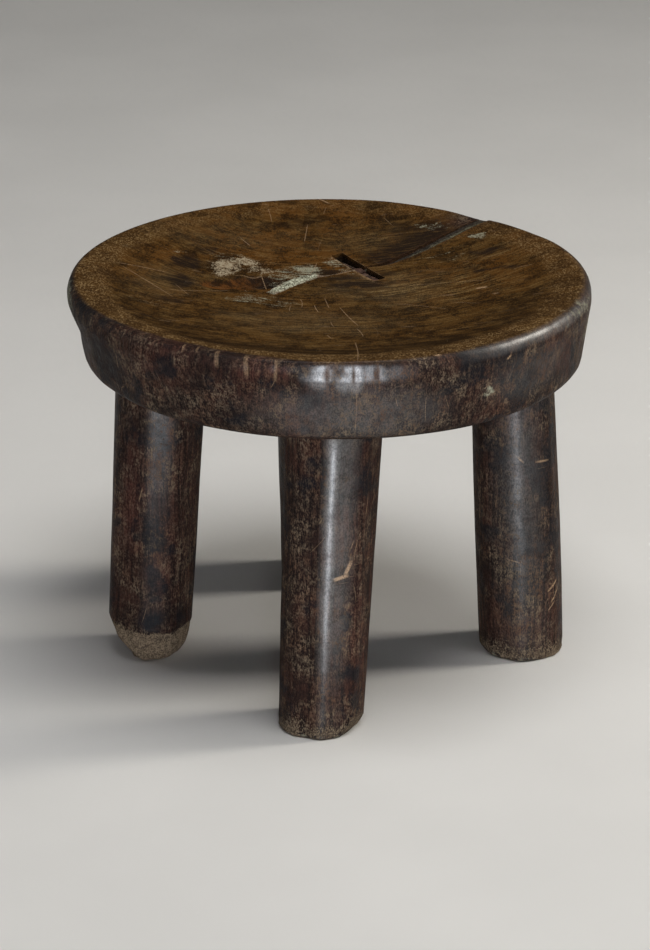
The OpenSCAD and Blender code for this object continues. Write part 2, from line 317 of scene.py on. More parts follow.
@dataclass(frozen=True)
class Seat:
    """The seat's shape: a dish inside a border, a rounded rim, a side that draws in, and a flat underside."""

    radius: float = 160.0
    height: float = 247.0
    thickness: float = 51.0
    dish_depth: float = 16.0
    border: float = 16.0
    border_drop: float = 2.0
    round_wide: float = 5.5
    round_high: float = 9.0
    band: float = 2.0
    side_draw: float = 8.5
    side_lean: float = 3.0
    under_round: float = 8.0
    check: CheckLine = CheckLine()
    # The hollow's balls, as (x, y, depth), and their radius
    balls: Rows = ((-69, 21, 3.3), (-55, 25, 4.7), (-43, 30, 6.0), (-37, 35, 3.6))
    ball: float = 20.0
    rim_drops: Rows = ((0, 0), (26, 0), (34, 1.1), (46, 1.5), (49.5, 1.9), (51, 2.3), (54, 2.2), (60, 1.5), (68, 0.8),
                       (77, 0), (90, 0))
    mounds: Patches = Patches(7.0, 21, (
        (-68, 56, 0, 13, 13, 9, 1), (-57, 66, 0, 11, 9, 9, 1), (-45, 48, 0, 12, 8, 9, 1),
    ))
    lip: Patches = Patches(4.0, 25, ((-52, 40, 0, 24, 8, 9, 0.8),))
    # Dents in the side, as (direction in degrees, height, half width, half height, depth)
    dents: Rows = (
        (-113.8, 243.0, 1.8, 5.0, 0.9), (-107.2, 241.0, 1.9, 6.0, 1.1), (-101.1, 242.5, 1.7, 5.0, 0.9),
        (-122.5, 243.0, 1.4, 4.0, 0.6), (-118.0, 244.0, 1.2, 4.0, 0.6), (-94.9, 203.4, 4.5, 4.5, 1.5),
        (-89.8, 239.0, 1.6, 9.0, 0.5), (-84.5, 239.0, 1.4, 9.0, 0.4), (-79.7, 239.0, 1.4, 8.0, 0.4),
        (-52.0, 206.0, 5.0, 3.0, 0.6), (-130.0, 212.0, 4.0, 5.0, 0.6), (-20.0, 226.0, 6.0, 4.0, 0.6),
        (60.0, 214.0, 7.0, 5.0, 0.8), (118.0, 224.0, 5.0, 8.0, 0.7), (165.0, 216.0, 6.0, 5.0, 0.7),
        (-87.0, 249.0, 42.0, 14.0, 3.3), (184.0, 220.0, 62.0, 9.0, 1.9), (40.0, 251.0, 50.0, 8.0, 1.4),
        (140.0, 250.0, 60.0, 8.0, 1.5),
    )
    # Rows of points over the dish, border, rim, side, lower bend and underside, points round a row, and how far
    # they crowd towards the front
    dish_rows: int = 89
    border_rows: int = 13
    rim_rows: int = 13
    side_rows: int = 25
    bend_rows: int = 7
    under_rows: int = 25
    columns: int = 416
    crowding: float = 0.35

    @property
    def crest(self) -> float:
        """The radius where the border ends and the rim's rounding starts."""
        return self.radius - self.round_wide

    @property
    def under(self) -> float:
        """The underside's height."""
        return self.height - self.thickness

    @property
    def side_top(self) -> float:
        """The height where the side starts to draw in."""
        return self.height - self.round_high - self.band

    def top(self, r: Array) -> Array:
        """Height of the top at a distance from the middle: a dish of power 2.4, then a border of power 1.5."""
        dish = self.crest - self.border
        bowl = self.height - self.border_drop
        inner = bowl - (self.dish_depth - self.border_drop) * (1 - np.minimum(r / dish, 1.0) ** 2.4)
        outer = self.height - self.border_drop * (np.clip(self.crest - r, 0, self.border) / self.border) ** 1.5
        return np.where(r < dish, inner, outer)

    def side_reach(self, z: Array, turn: Array) -> Array:
        """Radius of the side at a height and direction: the drawn-in circle, seen from the stool's middle."""
        share = np.clip((self.side_top - z) / (self.side_top - self.under), 0, 1)
        return self.radius - self.side_draw * share + self.side_lean * share * np.cos(turn)

    def hollow(self, x: Array, y: Array) -> Array:
        """Depth of the hollow at the pith: the deepest of four balls, on places that noise shifts."""
        px, py = x + 2.6 * lumps(on_plan(x, y), 11.0, 5, 3), y + 2.0 * lumps(on_plan(x, y), 11.0, 6, 3)
        depth = np.zeros_like(x)
        for ball_x, ball_y, deep in self.balls:
            gap = np.hypot(px - ball_x, (py - ball_y) * 1.15)
            depth = np.maximum(depth, deep - (self.ball - np.sqrt(np.maximum(self.ball**2 - gap**2, 0.0))))
        return depth

    def lowered(self, x: Array, y: Array) -> Array:
        drop = np.interp(np.degrees(np.arctan2(y, x)), *zip(*self.rim_drops))
        return drop * ease(112, 154, np.hypot(x, y))

    def relief(self, x: Array, y: Array) -> Array:
        """What wear, tools and crust add to the top's height, as sums of noise, dips and low mounds."""
        r, plan = np.hypot(x, y), on_plan(x, y)
        swell = 0.55 * lumps(plan, 62, 11) + 0.22 * lumps(plan, 21, 12) + 0.07 * lumps(plan, 6, 13)
        swell *= ease(158, 100, r) * 0.7 + 0.3
        share, away, half = self.check.measure(plan)
        beside = np.clip((away - half) / 24.0, 0, 1)
        bank = (away > 0) * ease(96, 150, r) * ease(1.0, 0.0, beside) * (share > 0.5)
        crumbs = 0.5 + 0.5 * lumps(plan, 3.2, 22)
        crust = 0.9 * self.mounds.mask(plan) + 0.5 * self.lip.mask(plan)
        return swell - self.lowered(x, y) - 1.1 * bank - self.hollow(x, y) + crust * crumbs

    def side_work(self, points: Array) -> Array:
        """What tools and knocks take off the side, outwards: long swells, small lumps, and dents as bell curves."""
        turn = np.arctan2(points[:, 1], points[:, 0])
        tall = points * (1, 1, 0.5)
        work = 0.5 * lumps(tall, 46, 15) + 0.22 * lumps(tall, 15, 16) + 0.07 * lumps(points, 5, 17) - 0.3
        for middle, height, wide, high, deep in self.dents:
            along = self.radius * (np.mod(turn - math.radians(middle) + math.pi, FULL_TURN) - math.pi)
            work -= deep * np.exp(-((along / wide) ** 2) - ((points[:, 2] - height) / high) ** 2)
        return work

    def profile(self) -> tuple[Array, Array, int, int]:
        """The seat's half section, from the middle of the top over the rim to the middle of the underside.

        Returns:
            The radii, the heights, how many rows lie on the top, and how many round the rim.
        """
        tall = self.side_top - self.under
        top_r = np.concatenate([np.linspace(0, self.crest - self.border, self.dish_rows)[1:],
                                np.linspace(self.crest - self.border, self.crest, self.border_rows)[1:]])
        curve = np.linspace(0, math.pi / 2, self.rim_rows)[1:]
        wall = math.atan(self.side_draw / tall)
        bend = np.linspace(math.pi / 2 - wall, 0, self.bend_rows)
        bend_high = self.under_round * (1 - np.cos(bend))
        start = self.radius - self.side_draw - self.under_round * (
            math.sin(bend[0]) - (1 - math.cos(bend[0])) * math.tan(wall))
        drop = np.linspace(0, 1, self.side_rows)[1:-1]
        side_z = self.side_top + (self.under + bend_high[0] - self.side_top) * drop
        side_r = self.radius - self.side_draw * (self.side_top - side_z) / tall
        under_r = start * np.linspace(1, 0, self.under_rows)[1:-1]
        r = np.concatenate([top_r, self.crest + self.round_wide * np.sin(curve), [self.radius], side_r,
                            start + self.under_round * np.sin(bend), under_r])
        z = np.concatenate([self.top(top_r), self.height - self.round_high * (1 - np.cos(curve)), [self.side_top],
                            side_z, self.under + bend_high, np.full(len(under_r), self.under)])
        return r, z, len(top_r), len(curve)

    def blank(self) -> bpy.types.Object:
        """The seat's skin. Rows follow the half section, and columns go round, crowded at the front: the angle
        is t - crowding cos t."""
        r, z, on_top_rows, round_rows = self.profile()
        shift = self.side_lean * np.clip((self.side_top - z) / (self.side_top - self.under), 0, 1)
        shift *= np.arange(len(r)) >= on_top_rows
        t = round_about(self.columns)
        turn = t - self.crowding * np.cos(t)
        x = r[:, None] * np.cos(turn) + shift[:, None]
        y = r[:, None] * np.sin(turn)
        rings = np.stack([x, y, np.broadcast_to(z[:, None], x.shape)], axis=-1)
        points = rings.reshape(-1, 3)
        row = np.repeat(np.arange(len(r)), self.columns).astype(float)
        last_round = on_top_rows + round_rows
        above = points[:, 2] > self.under + 0.01
        lift = self.relief(points[:, 0], points[:, 1]) * ease(last_round, on_top_rows - 2, row)
        out = self.side_work(points) * (ease(on_top_rows - 1, last_round - 2, row) * above)
        away = np.maximum(np.hypot(points[:, 0], points[:, 1]), 1.0)
        below = ~above * (0.5 * lumps(points, 30, 18) + 0.2)
        points = points + np.column_stack([out * points[:, 0] / away, out * points[:, 1] / away, lift + below])
        points[:, 2] = np.minimum(points[:, 2], self.height)
        nought = np.zeros(1)
        middle_top = np.array([0, 0, (self.top(nought) + self.relief(nought, nought))[0]])
        middle_under = np.array([self.side_lean, 0, self.under + 0.2])
        return make_piece("carved_block_skin", *closed_skin(points.reshape(rings.shape), middle_top, middle_under))


@dataclass(frozen=True)
class Leg:
    """One leg, from its middle under the seat to its middle at the floor. The radii are those under the seat, halfway
    and at the floor. Below the sill a foot has lost its skin."""

    name: str
    top: tuple[float, float]
    foot: tuple[float, float]
    radii: tuple[float, float, float]
    # Flats that the adze left, as (the way it looks in degrees, how far in it lies as a share of the radius)
    flats: Rows
    blend: float = 0.05
    foot_round: tuple[float, float] = (1.5, 1.5)
    # Worn faces on the foot, as (height where it starts, the way it looks, its lean from upright, in degrees)
    wear: Rows = ()
    # Bands that hands have polished, as (the way it looks, half width, strength), and where their sheen rises
    polished: Rows = ()
    shine_rises: tuple[float, float] = (20.0, 90.0)
    sill: float = -9.0
    seed: int = 0
    under: float = 196.0
    into_seat: float = 8.0
    cove: float = 3.0
    columns: int = 72

    def middle(self, share: Array | float) -> Array:
        """The leg's middle at a share of its height from the floor up, as (..., 2), on a straight line."""
        foot = np.array(self.foot)
        return foot + np.multiply.outer(np.clip(share, 0, 1), np.array(self.top) - foot)

    def facets(self, turn: Array) -> Array:
        """The outline's reach at each angle, as a share of the radius: the soft least of 1 and each flat's distance
        over cos(angle)."""
        shape = np.ones_like(turn)
        for way, share in self.flats:
            gap = np.cos(turn - math.radians(way))
            face = np.where(gap > 0.3, share / np.maximum(gap, 0.3), 9.0)
            soft = np.clip(0.5 + 0.5 * (face - shape) / self.blend, 0, 1)
            shape = face * (1 - soft) + shape * soft - self.blend * soft * (1 - soft)
        return shape

    def reach(self, down: Array) -> Array:
        """The radius at each depth below the seat's underside: the parabola through the three radii, widened by the
        cove under the seat and narrowed by the foot's rounding, both quarter circles."""
        s = np.clip(1 - down / self.under, 0, 1.05)
        at_top, halfway, at_foot = self.radii
        radius = at_foot * (1 - s) * (1 - 2 * s) + halfway * 4 * s * (1 - s) + at_top * s * (2 * s - 1)
        cove = np.clip(1 - down / (2.5 * self.cove), 0, 1)
        radius = radius + self.cove * 0.83 * (1 - np.sqrt(1 - cove**2 * 0.999))
        wide, high = self.foot_round
        near = np.clip((high - (self.under - down)) / high, 0, 1)
        return radius - wide * (1 - np.sqrt(1 - near**2))

    def skin(self) -> bpy.types.Object:
        """The leg's skin: rings of facets, with tool marks as noise, then worn faces that move what lies beyond them
        back onto their planes."""
        down = np.concatenate([[-self.into_seat], 7.5 * (1 - np.cos(np.linspace(0, 1.5, 6))),
                               np.linspace(9.5, self.under - 34, 44), np.linspace(self.under - 32.5, self.under, 26)])
        turn = round_about(self.columns)
        ring = self.reach(down)[:, None] * (1 + (self.facets(turn) - 1) * ease(0, 16, down)[:, None])
        middle = self.middle(1 - down / self.under)
        x = middle[:, :1] + ring * np.cos(turn)
        y = middle[:, 1:] + ring * np.sin(turn)
        z = np.broadcast_to((self.under - down)[:, None], x.shape)
        points = np.stack([x, y, z], axis=-1).reshape(-1, 3)
        out = (points[:, :2] - np.repeat(middle, len(turn), axis=0)) / ring.reshape(-1, 1)
        tall = points * (1, 1, 0.3)
        work = 0.5 * lumps(tall, 24, self.seed) + 0.2 * lumps(tall, 8, self.seed + 1) - 0.15
        nibble = ease(7, 1, points[:, 2]) * (0.9 * lumps(points, 6, self.seed + 2) - 0.35)
        work = work * ease(self.under + 1, self.under - 10, points[:, 2]) + nibble
        work = work - 0.9 * ease(self.sill + 0.9, self.sill - 0.9, points[:, 2] + 2.2 * lumps(points, 7, 241, 3))
        points[:, :2] += out * work[:, None]
        for height, way, lean in self.wear:
            points = self.worn(points, height, math.radians(way), math.radians(lean))
        rings = points.reshape(x.shape + (3,))
        rings[-1, :, 2] = 0.0
        first = np.array([*self.top, self.under + self.into_seat])
        last = np.array([rings[-1, :, 0].mean(), rings[-1, :, 1].mean(), 0.0])
        sole = np.concatenate([rings, last + (rings[-1:] - last) * np.array([[[0.9]], [[0.7]], [[0.4]]])])
        return make_piece("leg_" + self.name, *closed_skin(sole, first, last))

    def worn(self, points: Array, height: float, turn: float, lean: float) -> Array:
        """Points beyond a worn face, moved straight back onto it, less a grainy roughness, and kept off the floor."""
        way = np.array([math.cos(turn), math.sin(turn)])
        start = np.array([*(np.array(self.foot) + self.radii[2] * way), height])
        normal = np.array([*(way * math.cos(lean)), -math.sin(lean)])
        beyond = (points - start) @ normal
        pushed = np.maximum(beyond, 0) * (points[:, 2] < height + 6)
        rough = ease(0.0, 1.5, pushed) * (0.45 * lumps(points, 4, self.seed + 9, 3))
        moved = points - (pushed - rough)[:, None] * normal
        moved[:, 2] = np.maximum(moved[:, 2], 0.0)
        return moved


LEGS = (
    Leg("front", (3, -109), (-4, -115), (29.4, 27.4, 25.8),
        ((-113, 0.94), (-68, 0.94), (-25, 0.955), (20, 0.96), (90, 0.95), (160, 0.95)), blend=0.03,
        wear=((12, -28, 30),), polished=((-90, 15, 1.0), (-78, 30, 0.5), (40, 26, 0.35)), seed=101),
    Leg("right", (112.5, 0), (123, 1), (25.4, 27.1, 26.8),
        ((-118, 0.97), (-62, 0.97), (-15, 0.97), (60, 0.96), (130, 0.96), (200, 0.97)), blend=0.09,
        polished=((-89, 56, 0.36), (25, 26, 0.35), (140, 28, 0.3)), shine_rises=(-40, 110), seed=111),
    Leg("back", (-8, 106), (-6, 115), (28.4, 27.4, 25.8),
        ((75, 0.94), (120, 0.95), (25, 0.96), (180, 0.96), (-60, 0.95)), blend=0.06,
        polished=((96, 30, 0.5), (-20, 24, 0.3), (200, 26, 0.3)), seed=121),
    Leg("left", (-103, 0), (-113.5, -7), (28.8, 27.6, 26.3),
        ((-125, 0.97), (-80, 0.975), (-30, 0.96), (40, 0.96), (110, 0.95), (175, 0.97)), blend=0.09,
        foot_round=(7.0, 20.0), wear=((32, 190, 20), (21, 190, 45)),
        polished=((-84, 29, 0.26), (60, 26, 0.3), (190, 28, 0.3)), shine_rises=(80, 175), sill=20.5, seed=131),
)


@dataclass(frozen=True)
class Cramp:
    """The iron cramp and its slot: a strap with a pointed prong at each end, laid square across the check."""

    middle: tuple[float, float] = (18.0, 57.0)
    turn: float = 123.0
    floor: float = 227.86
    slot_long: float = 49.0
    slot_wide: float = 8.5
    end_gap: float = 1.2
    thick: float = 2.2
    wide: float = 6.5
    prong: float = 17.0
    # The slot's slices, from its floor up to above the seat, as (height, share of the width)
    slices: Rows = ((0.0, 0.96), (1.5, 0.98), (4.0, 1.0), (5.2, 1.03), (30.0, 1.08))
    # Powers of the superellipses along and across, for the slot, the bar and the resin over it
    slot_power: float = 0.125
    bar_powers: tuple[float, float] = (0.28, 0.4)
    lump_powers: tuple[float, float] = (0.6, 0.35)

    def piece(self, name: str, rings: Array, last: Array | None = None) -> bpy.types.Object:
        """A piece over rings in the cramp's own frame (x along the strap, z up from the slot's floor)."""
        points, faces = closed_skin(rings, last=last)
        c, s = math.cos(math.radians(self.turn)), math.sin(math.radians(self.turn))
        turned = points @ np.array([[c, s, 0], [-s, c, 0], [0, 0, 1]])
        return make_piece(name, turned + np.array([*self.middle, self.floor]), faces)

    def slot_cutter(self) -> bpy.types.Object:
        """The slot as a solid to cut with: a superellipse of power 16, so a rectangle with rounded corners, with
        ragged sides, from its floor up."""
        t = round_about(240)
        x = squared(np.cos(t), self.slot_power) * self.slot_long / 2
        y = squared(np.sin(t), self.slot_power) * self.slot_wide / 2
        rings = np.stack([np.column_stack([x * (0.5 + share / 2), y * share, np.full_like(x, height)])
                          for height, share in self.slices])
        ragged = 0.25 * lumps(rings.reshape(-1, 3) * (1, 1, 0.2), 6, 61)
        rings[..., 1] += ragged.reshape(rings.shape[:2])
        return self.piece("slot_cutter", rings)

    def staple(self, grow: float, name: str) -> bpy.types.Object:
        """The strap and its prongs as one bar: a rounded rectangle carried up one prong, along the strap and down the
        other, tapering to the tips, with hammer marks as noise.

        Args:
            grow: how much larger than the iron, for the hole that it was driven into.
            name: the object's name.

        Returns:
            The piece.
        """
        half, deep = self.slot_long / 2 - self.end_gap - self.thick / 2, self.thick / 2
        corner = np.linspace(0, math.pi / 2, 7)[1:-1]
        up = np.column_stack([np.full(18, -half), np.linspace(-self.prong, -1.2, 18)])
        bend = np.column_stack([-half + 1.6 * (1 - np.cos(corner)), -1.2 + (deep + 1.2) * np.sin(corner)])
        flat = np.column_stack([np.linspace(-half + 1.8, half - 1.8, 66), np.full(66, deep)])
        path = np.concatenate([up, bend, flat, (bend * (-1, 1))[::-1], (up * (-1, 1))[::-1]])
        _, side = run_and_side(path)
        tip = np.clip((path[:, 1] + self.prong) / (0.35 * self.prong), 0.12, 1)
        t = round_about(28)
        across = squared(np.cos(t), self.bar_powers[0]) * (self.wide / 2 + grow)
        thick = squared(np.sin(t), self.bar_powers[1]) * (deep + grow)
        ring = np.empty((len(path), len(t), 3))
        ring[..., 0] = path[:, :1] + side[:, :1] * thick * tip[:, None]
        ring[..., 1] = across * (0.6 + 0.4 * tip[:, None])
        ring[..., 2] = path[:, 1:] + side[:, 1:] * thick * tip[:, None]
        if grow <= 0:
            points = ring.reshape(-1, 3)
            dents = 0.16 * lumps(points, 5, 71) + 0.1 * lumps(points, 1.8, 72) - 0.12
            ring[..., 2] += dents.reshape(ring.shape[:2]) * (ring[..., 2] > deep)
            ring[..., 1] *= 1 + 0.03 * lumps(points * (1, 0, 0), 8, 73).reshape(ring.shape[:2])
        return self.piece(name, ring)

    def bridge(self) -> bpy.types.Object:
        """The lump of resin over the strap where the check crosses it: a cushion whose height falls with the fourth
        power of the distance from its middle, roughened by noise."""
        t = round_about(72)
        x, y = squared(np.cos(t), self.lump_powers[0]), squared(np.sin(t), self.lump_powers[1])
        share = np.linspace(0.06, 1, 22)
        height = np.append(4.0 - 1.4 * share**4, (2.25, 1.9))
        share = np.append(share, (1, 1))[:, None]
        ring = np.stack([x * share * 4.2, y * share * 4.1, height[:, None] * np.ones_like(x)], axis=-1)
        points = ring.reshape(-1, 3)
        rough = 0.4 * lumps(points, 3.5, 81, 3) + 0.25 * lumps(points, 1.2, 82)
        points[:, 2] += rough * (points[:, 2] > 2.2)
        points[:, 0] *= 1 + 0.22 * lumps(points * (0, 1, 0), 3.0, 83)
        return self.piece("bridge_lump", points.reshape(ring.shape), np.array([0, 0, 1.85]))


@dataclass(frozen=True)
class Fill:
    """A fill in the check: from which share of its line to which, and how its top lies against the seat's."""

    name: str
    first: float
    last: float
    rise: float
    gap_left: float
    gap_right: float
    rough: float
    seed: int
    across: int = 15
    # Which of the top's points have one under them, seen from the right bank
    below: tuple[int, ...] = (0, 4, 10, 14)

    def build(self, seat: Seat) -> bpy.types.Object:
        """Points that would stand outside the seat's side are drawn back to it.

        Args:
            seat: the seat, for its top, its side and the check's banks.

        Returns:
            The piece, with its share across the check kept on its points.
        """
        left, right = seat.check.banks()
        span = slice(int(self.first * (len(left) - 1)), int(self.last * (len(left) - 1)) + 1)
        left, right = left[span], right[span]
        wide = np.linalg.norm(right - left, axis=1)[:, None]
        room = np.clip(wide / 7.0, 0, 1)
        a = left + (right - left) * self.gap_left * room / wide
        b = right - (right - left) * self.gap_right * room / wide
        share = np.linspace(0, 1, self.across)
        plan = a[:, None] + (b - a)[:, None] * share[:, None]
        top = on_plan(plan[..., 0].ravel(), plan[..., 1].ravel())
        height = seat.top(np.hypot(top[:, 0], top[:, 1])) - seat.lowered(top[:, 0], top[:, 1])
        rough = self.rough * (0.7 * lumps(top, 6, self.seed, 3) + 0.5 * lumps(top, 1.8, self.seed + 1))
        height, rough = height.reshape(plan.shape[:2]), rough.reshape(plan.shape[:2])
        lift = np.where(self.rise > 0, self.rise * np.clip((wide - 1.2) / 5.0, 0.1, 1), self.rise)
        height = height + rough * np.maximum(room, 0.4) + lift - 0.35 * (2 * share - 1) ** 4
        upper = np.dstack([plan, height])
        lower = upper[:, ::-1][:, self.below, :]
        lower[..., 2] = seat.check.floor + 0.3
        ring = np.concatenate([upper, lower], axis=1)
        flat = ring.reshape(-1, 3)
        away, turn = np.hypot(flat[:, 0], flat[:, 1]), np.arctan2(flat[:, 1], flat[:, 0])
        limit = seat.side_reach(flat[:, 2], turn) - 0.9 - 2.5 * ease(238, 246, flat[:, 2])
        flat[:, :2] *= np.minimum(limit / np.maximum(away, 1), 1)[:, None]
        piece = make_piece(self.name, *closed_skin(flat.reshape(ring.shape)))
        over = np.concatenate([share, share[::-1][list(self.below)]])
        store_mask(piece.data, "across", np.concatenate([[0.5], np.tile(over, len(plan)), [0.5]]))
        thin = np.repeat(ease(7.4, 4.6, wide[:, 0]), ring.shape[1])
        store_mask(piece.data, "neck", np.concatenate([[0], thin, [0]]))
        return piece


@dataclass(frozen=True)
class Scratch:
    """A scratch or scar: its ends, its half width, its strength, and how far its middle bows to the left."""

    start: tuple[float, float, float]
    end: tuple[float, float, float]
    half: float
    strength: float
    bow: float = 0.0


@dataclass(frozen=True)
class Scratches:
    """Every scratch on the wood, in layers. On a layer each point keeps the signed distance to its nearest scratch,
    over the half width, and that scratch's strength. Both vary evenly over a face, so that a line stays sharp."""

    layers: int = 8
    reach: float = 6.0
    apart: float = 13.5
    # Marks that are seen on the seat's plan, as (start x, start y, end x, end y, half width, strength, bow)
    on_top: Rows = (
        (-133, 31, -99, 30, 0.36, 0.75, 1.5), (-130, 29, -94, -14, 0.32, 0.55, 2), (-124, 25, -103, -1, 0.3, 0.45, 0),
        (-100, 0, -60, 12, 0.38, 0.6, -1), (-57, 97, -50, 86, 0.4, 0.6, 0), (-40, 139, -37, 120, 0.34, 0.4, 0.4),
        (-14, 120, -16, 95, 0.36, 0.6, 0), (-7, 155, 0, 147, 0.7, 0.9, 0), (-2, 143, -4, 132, 0.34, 0.3, 0),
        (-43, 44, -37, 20, 0.36, 0.75, 1), (-60, 25, -50, 11, 0.34, 0.65, 0), (-60, 38, -41, 42, 0.4, 0.4, -0.4),
        (-8, 65, -13, 44, 0.36, 0.55, 1), (-95, 13, -85, -6, 0.3, 0.4, 0), (-24, -23, -23, -10, 0.34, 0.45, 0.5),
        (-9, -9, -6, -25, 0.36, 0.65, -0.6), (-18, 2, -17, -15, 0.34, 0.5, 1), (47, 24, 98, 21, 0.3, 0.5, 2),
        (38, -7, 73, -26, 0.3, 0.55, 2), (6, -12, 18, -53, 0.34, 0.7, -0.4), (74, -11, 92, -20, 0.3, 0.45, 0),
        (16, -57, 20, -78, 0.36, 0.6, 1), (1, -42, 3, -54, 0.34, 0.55, -0.5), (-3, 5, 0, -16, 0.34, 0.55, 0),
        (15, -89, 16, -158, 0.4, 0.55, 1), (-1, -73, 2, -81, 0.4, 0.6, -0.5), (35, 127, 40, 117, 0.34, 0.4, 0),
        (90, 9, 97, 9, 1.5, 0.9, 0), (99, -5, 103, -5, 1.3, 0.5, 0), (42, -57, 52, -57, 0.8, 0.35, 0),
        (67, 3, 77, 2, 0.9, 0.45, 0), (3.5, 44.8, 14, 51.5, 0.6, 0.6, 0), (22, 57, 42, 66, 0.8, 0.8, -1),
        (-9.6, 40.5, 3.5, 45.5, 0.5, 0.5, 0), (64, -139, 66, -132, 0.3, 0.4, 0),
    )
    # Marks on the side and the legs, as (start x, y, z, end x, y, z, half width, strength)
    on_side: Rows = (
        (3.5, -139, 104, 12, -137, 105.5, 1.5, 1.0), (10, -137, 105, 14.5, -135.5, 115, 1.5, 0.95),
        (13, -134.5, 122, 15, -134, 127, 0.5, 0.5), (21.5, -129, 141, 23, -128, 152, 0.4, 0.6),
        (136, -18, 46, 144, -14, 52, 0.8, 0.8), (138, -17, 38, 145, -12, 46, 0.7, 0.8),
        (137, -18, 33, 141, -15, 38, 0.6, 0.7), (111, -25.5, 70, 119, -25.5, 68.5, 0.5, 0.45),
        (128, -22, 134, 135, -18, 133.5, 0.9, 0.8), (-118, -33, 110, -116, -33, 117, 0.5, 0.6),
        (116.5, -25.5, 138, 119, -25.5, 135.5, 0.9, 0.8), (60, -143, 246, 64, -141.5, 246, 1.2, 0.9),
        (-65, -147, 241, -63.5, -137, 247.5, 1.5, 0.38), (-47.5, -153, 236.5, -46.5, -144, 247.2, 1.5, 0.36),
        (-31, -157, 235, -30.2, -150, 247, 1.2, 0.4), (-84.5, -133, 244, -83, -126, 247.5, 0.8, 0.4),
        (-76.5, -137, 244, -75, -130, 247.5, 0.8, 0.35), (103, -121, 237, 105, -119.6, 238.5, 0.8, 0.9),
        (15.5, -156, 199, 16, -158.6, 234, 0.24, 0.35),
    )
    fine_top: int = 120
    fine_side: int = 90
    seed: int = 17

    def listed(self) -> list[Scratch]:
        """The marks that are seen, then fine ones drawn from a fixed seed: on the top mostly from left to right, and
        on the side and the legs mostly upright."""
        found = [Scratch((a, b, 0), (c, d, 0), wide, strength, bow) for a, b, c, d, wide, strength, bow in self.on_top]
        found += [Scratch(row[:3], row[3:6], *row[6:]) for row in self.on_side]
        draw = np.random.default_rng(self.seed)
        for _ in range(self.fine_top):
            r, turn = 138 * math.sqrt(draw.random()), draw.random() * FULL_TURN
            x, y = r * math.cos(turn), r * math.sin(turn)
            way = draw.normal(0.06 if x > -50 else -0.55, 0.24) if draw.random() < 0.8 else draw.random() * math.pi
            long = 4 + 15 * draw.random() ** 2
            dx, dy = long * math.cos(way), long * math.sin(way)
            found.append(Scratch((x - dx, y - dy, 0), (x + dx, y + dy, 0), draw.uniform(0.16, 0.25),
                                 draw.uniform(0.06, 0.26), draw.normal(0, 1.2)))
        for k in range(self.fine_side):
            turn, way, long = draw.random() * FULL_TURN, draw.normal(0, 0.4), draw.uniform(2, 9)
            if k % 2:
                leg = LEGS[draw.integers(4)]
                z = draw.uniform(20, 185)
                (x, y), r = leg.middle(z / leg.under), leg.radii[1]
            else:
                x, y, z, r = 0.0, 0.0, draw.uniform(203, 236), 156.0
            side, c, s = long * math.sin(way), math.cos(turn), math.sin(turn)
            start = (x + r * c + side * s, y + r * s - side * c, z - long * math.cos(way))
            end = (x + r * c - side * s, y + r * s + side * c, z + long * math.cos(way))
            found.append(Scratch(start, end, draw.uniform(0.16, 0.3), draw.uniform(0.2, 0.6), draw.normal(0, 0.5)))
        return found

    def lay(self, mesh: bpy.types.Mesh, points: Array, top: Array) -> None:
        """Spreads the scratches over the layers, no two of a layer nearer than their reach, and keeps each layer.

        Args:
            mesh: the wood's mesh.
            points: its points in millimetres.
            top: the mask of the seat's top.
        """
        normals = read_points(mesh, "normal")
        marks = np.linspace(0, 1, 9)[:, None]
        taken: list[list[Array]] = [[] for _ in range(self.layers)]
        gaps = np.full((self.layers, len(points)), FAR)
        strengths = np.zeros((self.layers, len(points)))
        for scratch in self.listed():
            start, end = np.array(scratch.start, float), np.array(scratch.end, float)
            line = start + (end - start) * marks
            free = [k for k in range(self.layers) if all(
                np.linalg.norm(line[:, None] - other[None], axis=2).min() > self.apart for other in taken[k])]
            if not free:
                continue
            taken[free[0]].append(line)
            on_top = scratch.start[2] == 0
            place = points * (1, 1, 0) if on_top else points
            long = np.linalg.norm(end - start)
            way = (end - start) / long
            up = np.array([0.0, 0, 1])
            if not on_top:
                up = normals[np.argmin(np.linalg.norm(points - (start + end) / 2, axis=1))]
            share = ((place - start) @ way) / long
            beside = (place - start) @ np.cross(up, way) - 4 * scratch.bow * share * (1 - share)
            over = np.abs((place - start) @ up)
            near = (np.abs(beside) < self.reach) & (over < 9) & (share * long > -5) & ((share - 1) * long < 5)
            near &= (top > 0.2) if on_top else (top < 0.8)
            gaps[free[0], near] = beside[near] / scratch.half
            strengths[free[0], near] = (scratch.strength * ease(0, 0.15, share) * ease(1, 0.85, share))[near]
        for k in range(self.layers):
            store(mesh, f"scratch_gap_{k}", gaps[k])
            store_mask(mesh, f"scratch_{k}", strengths[k])


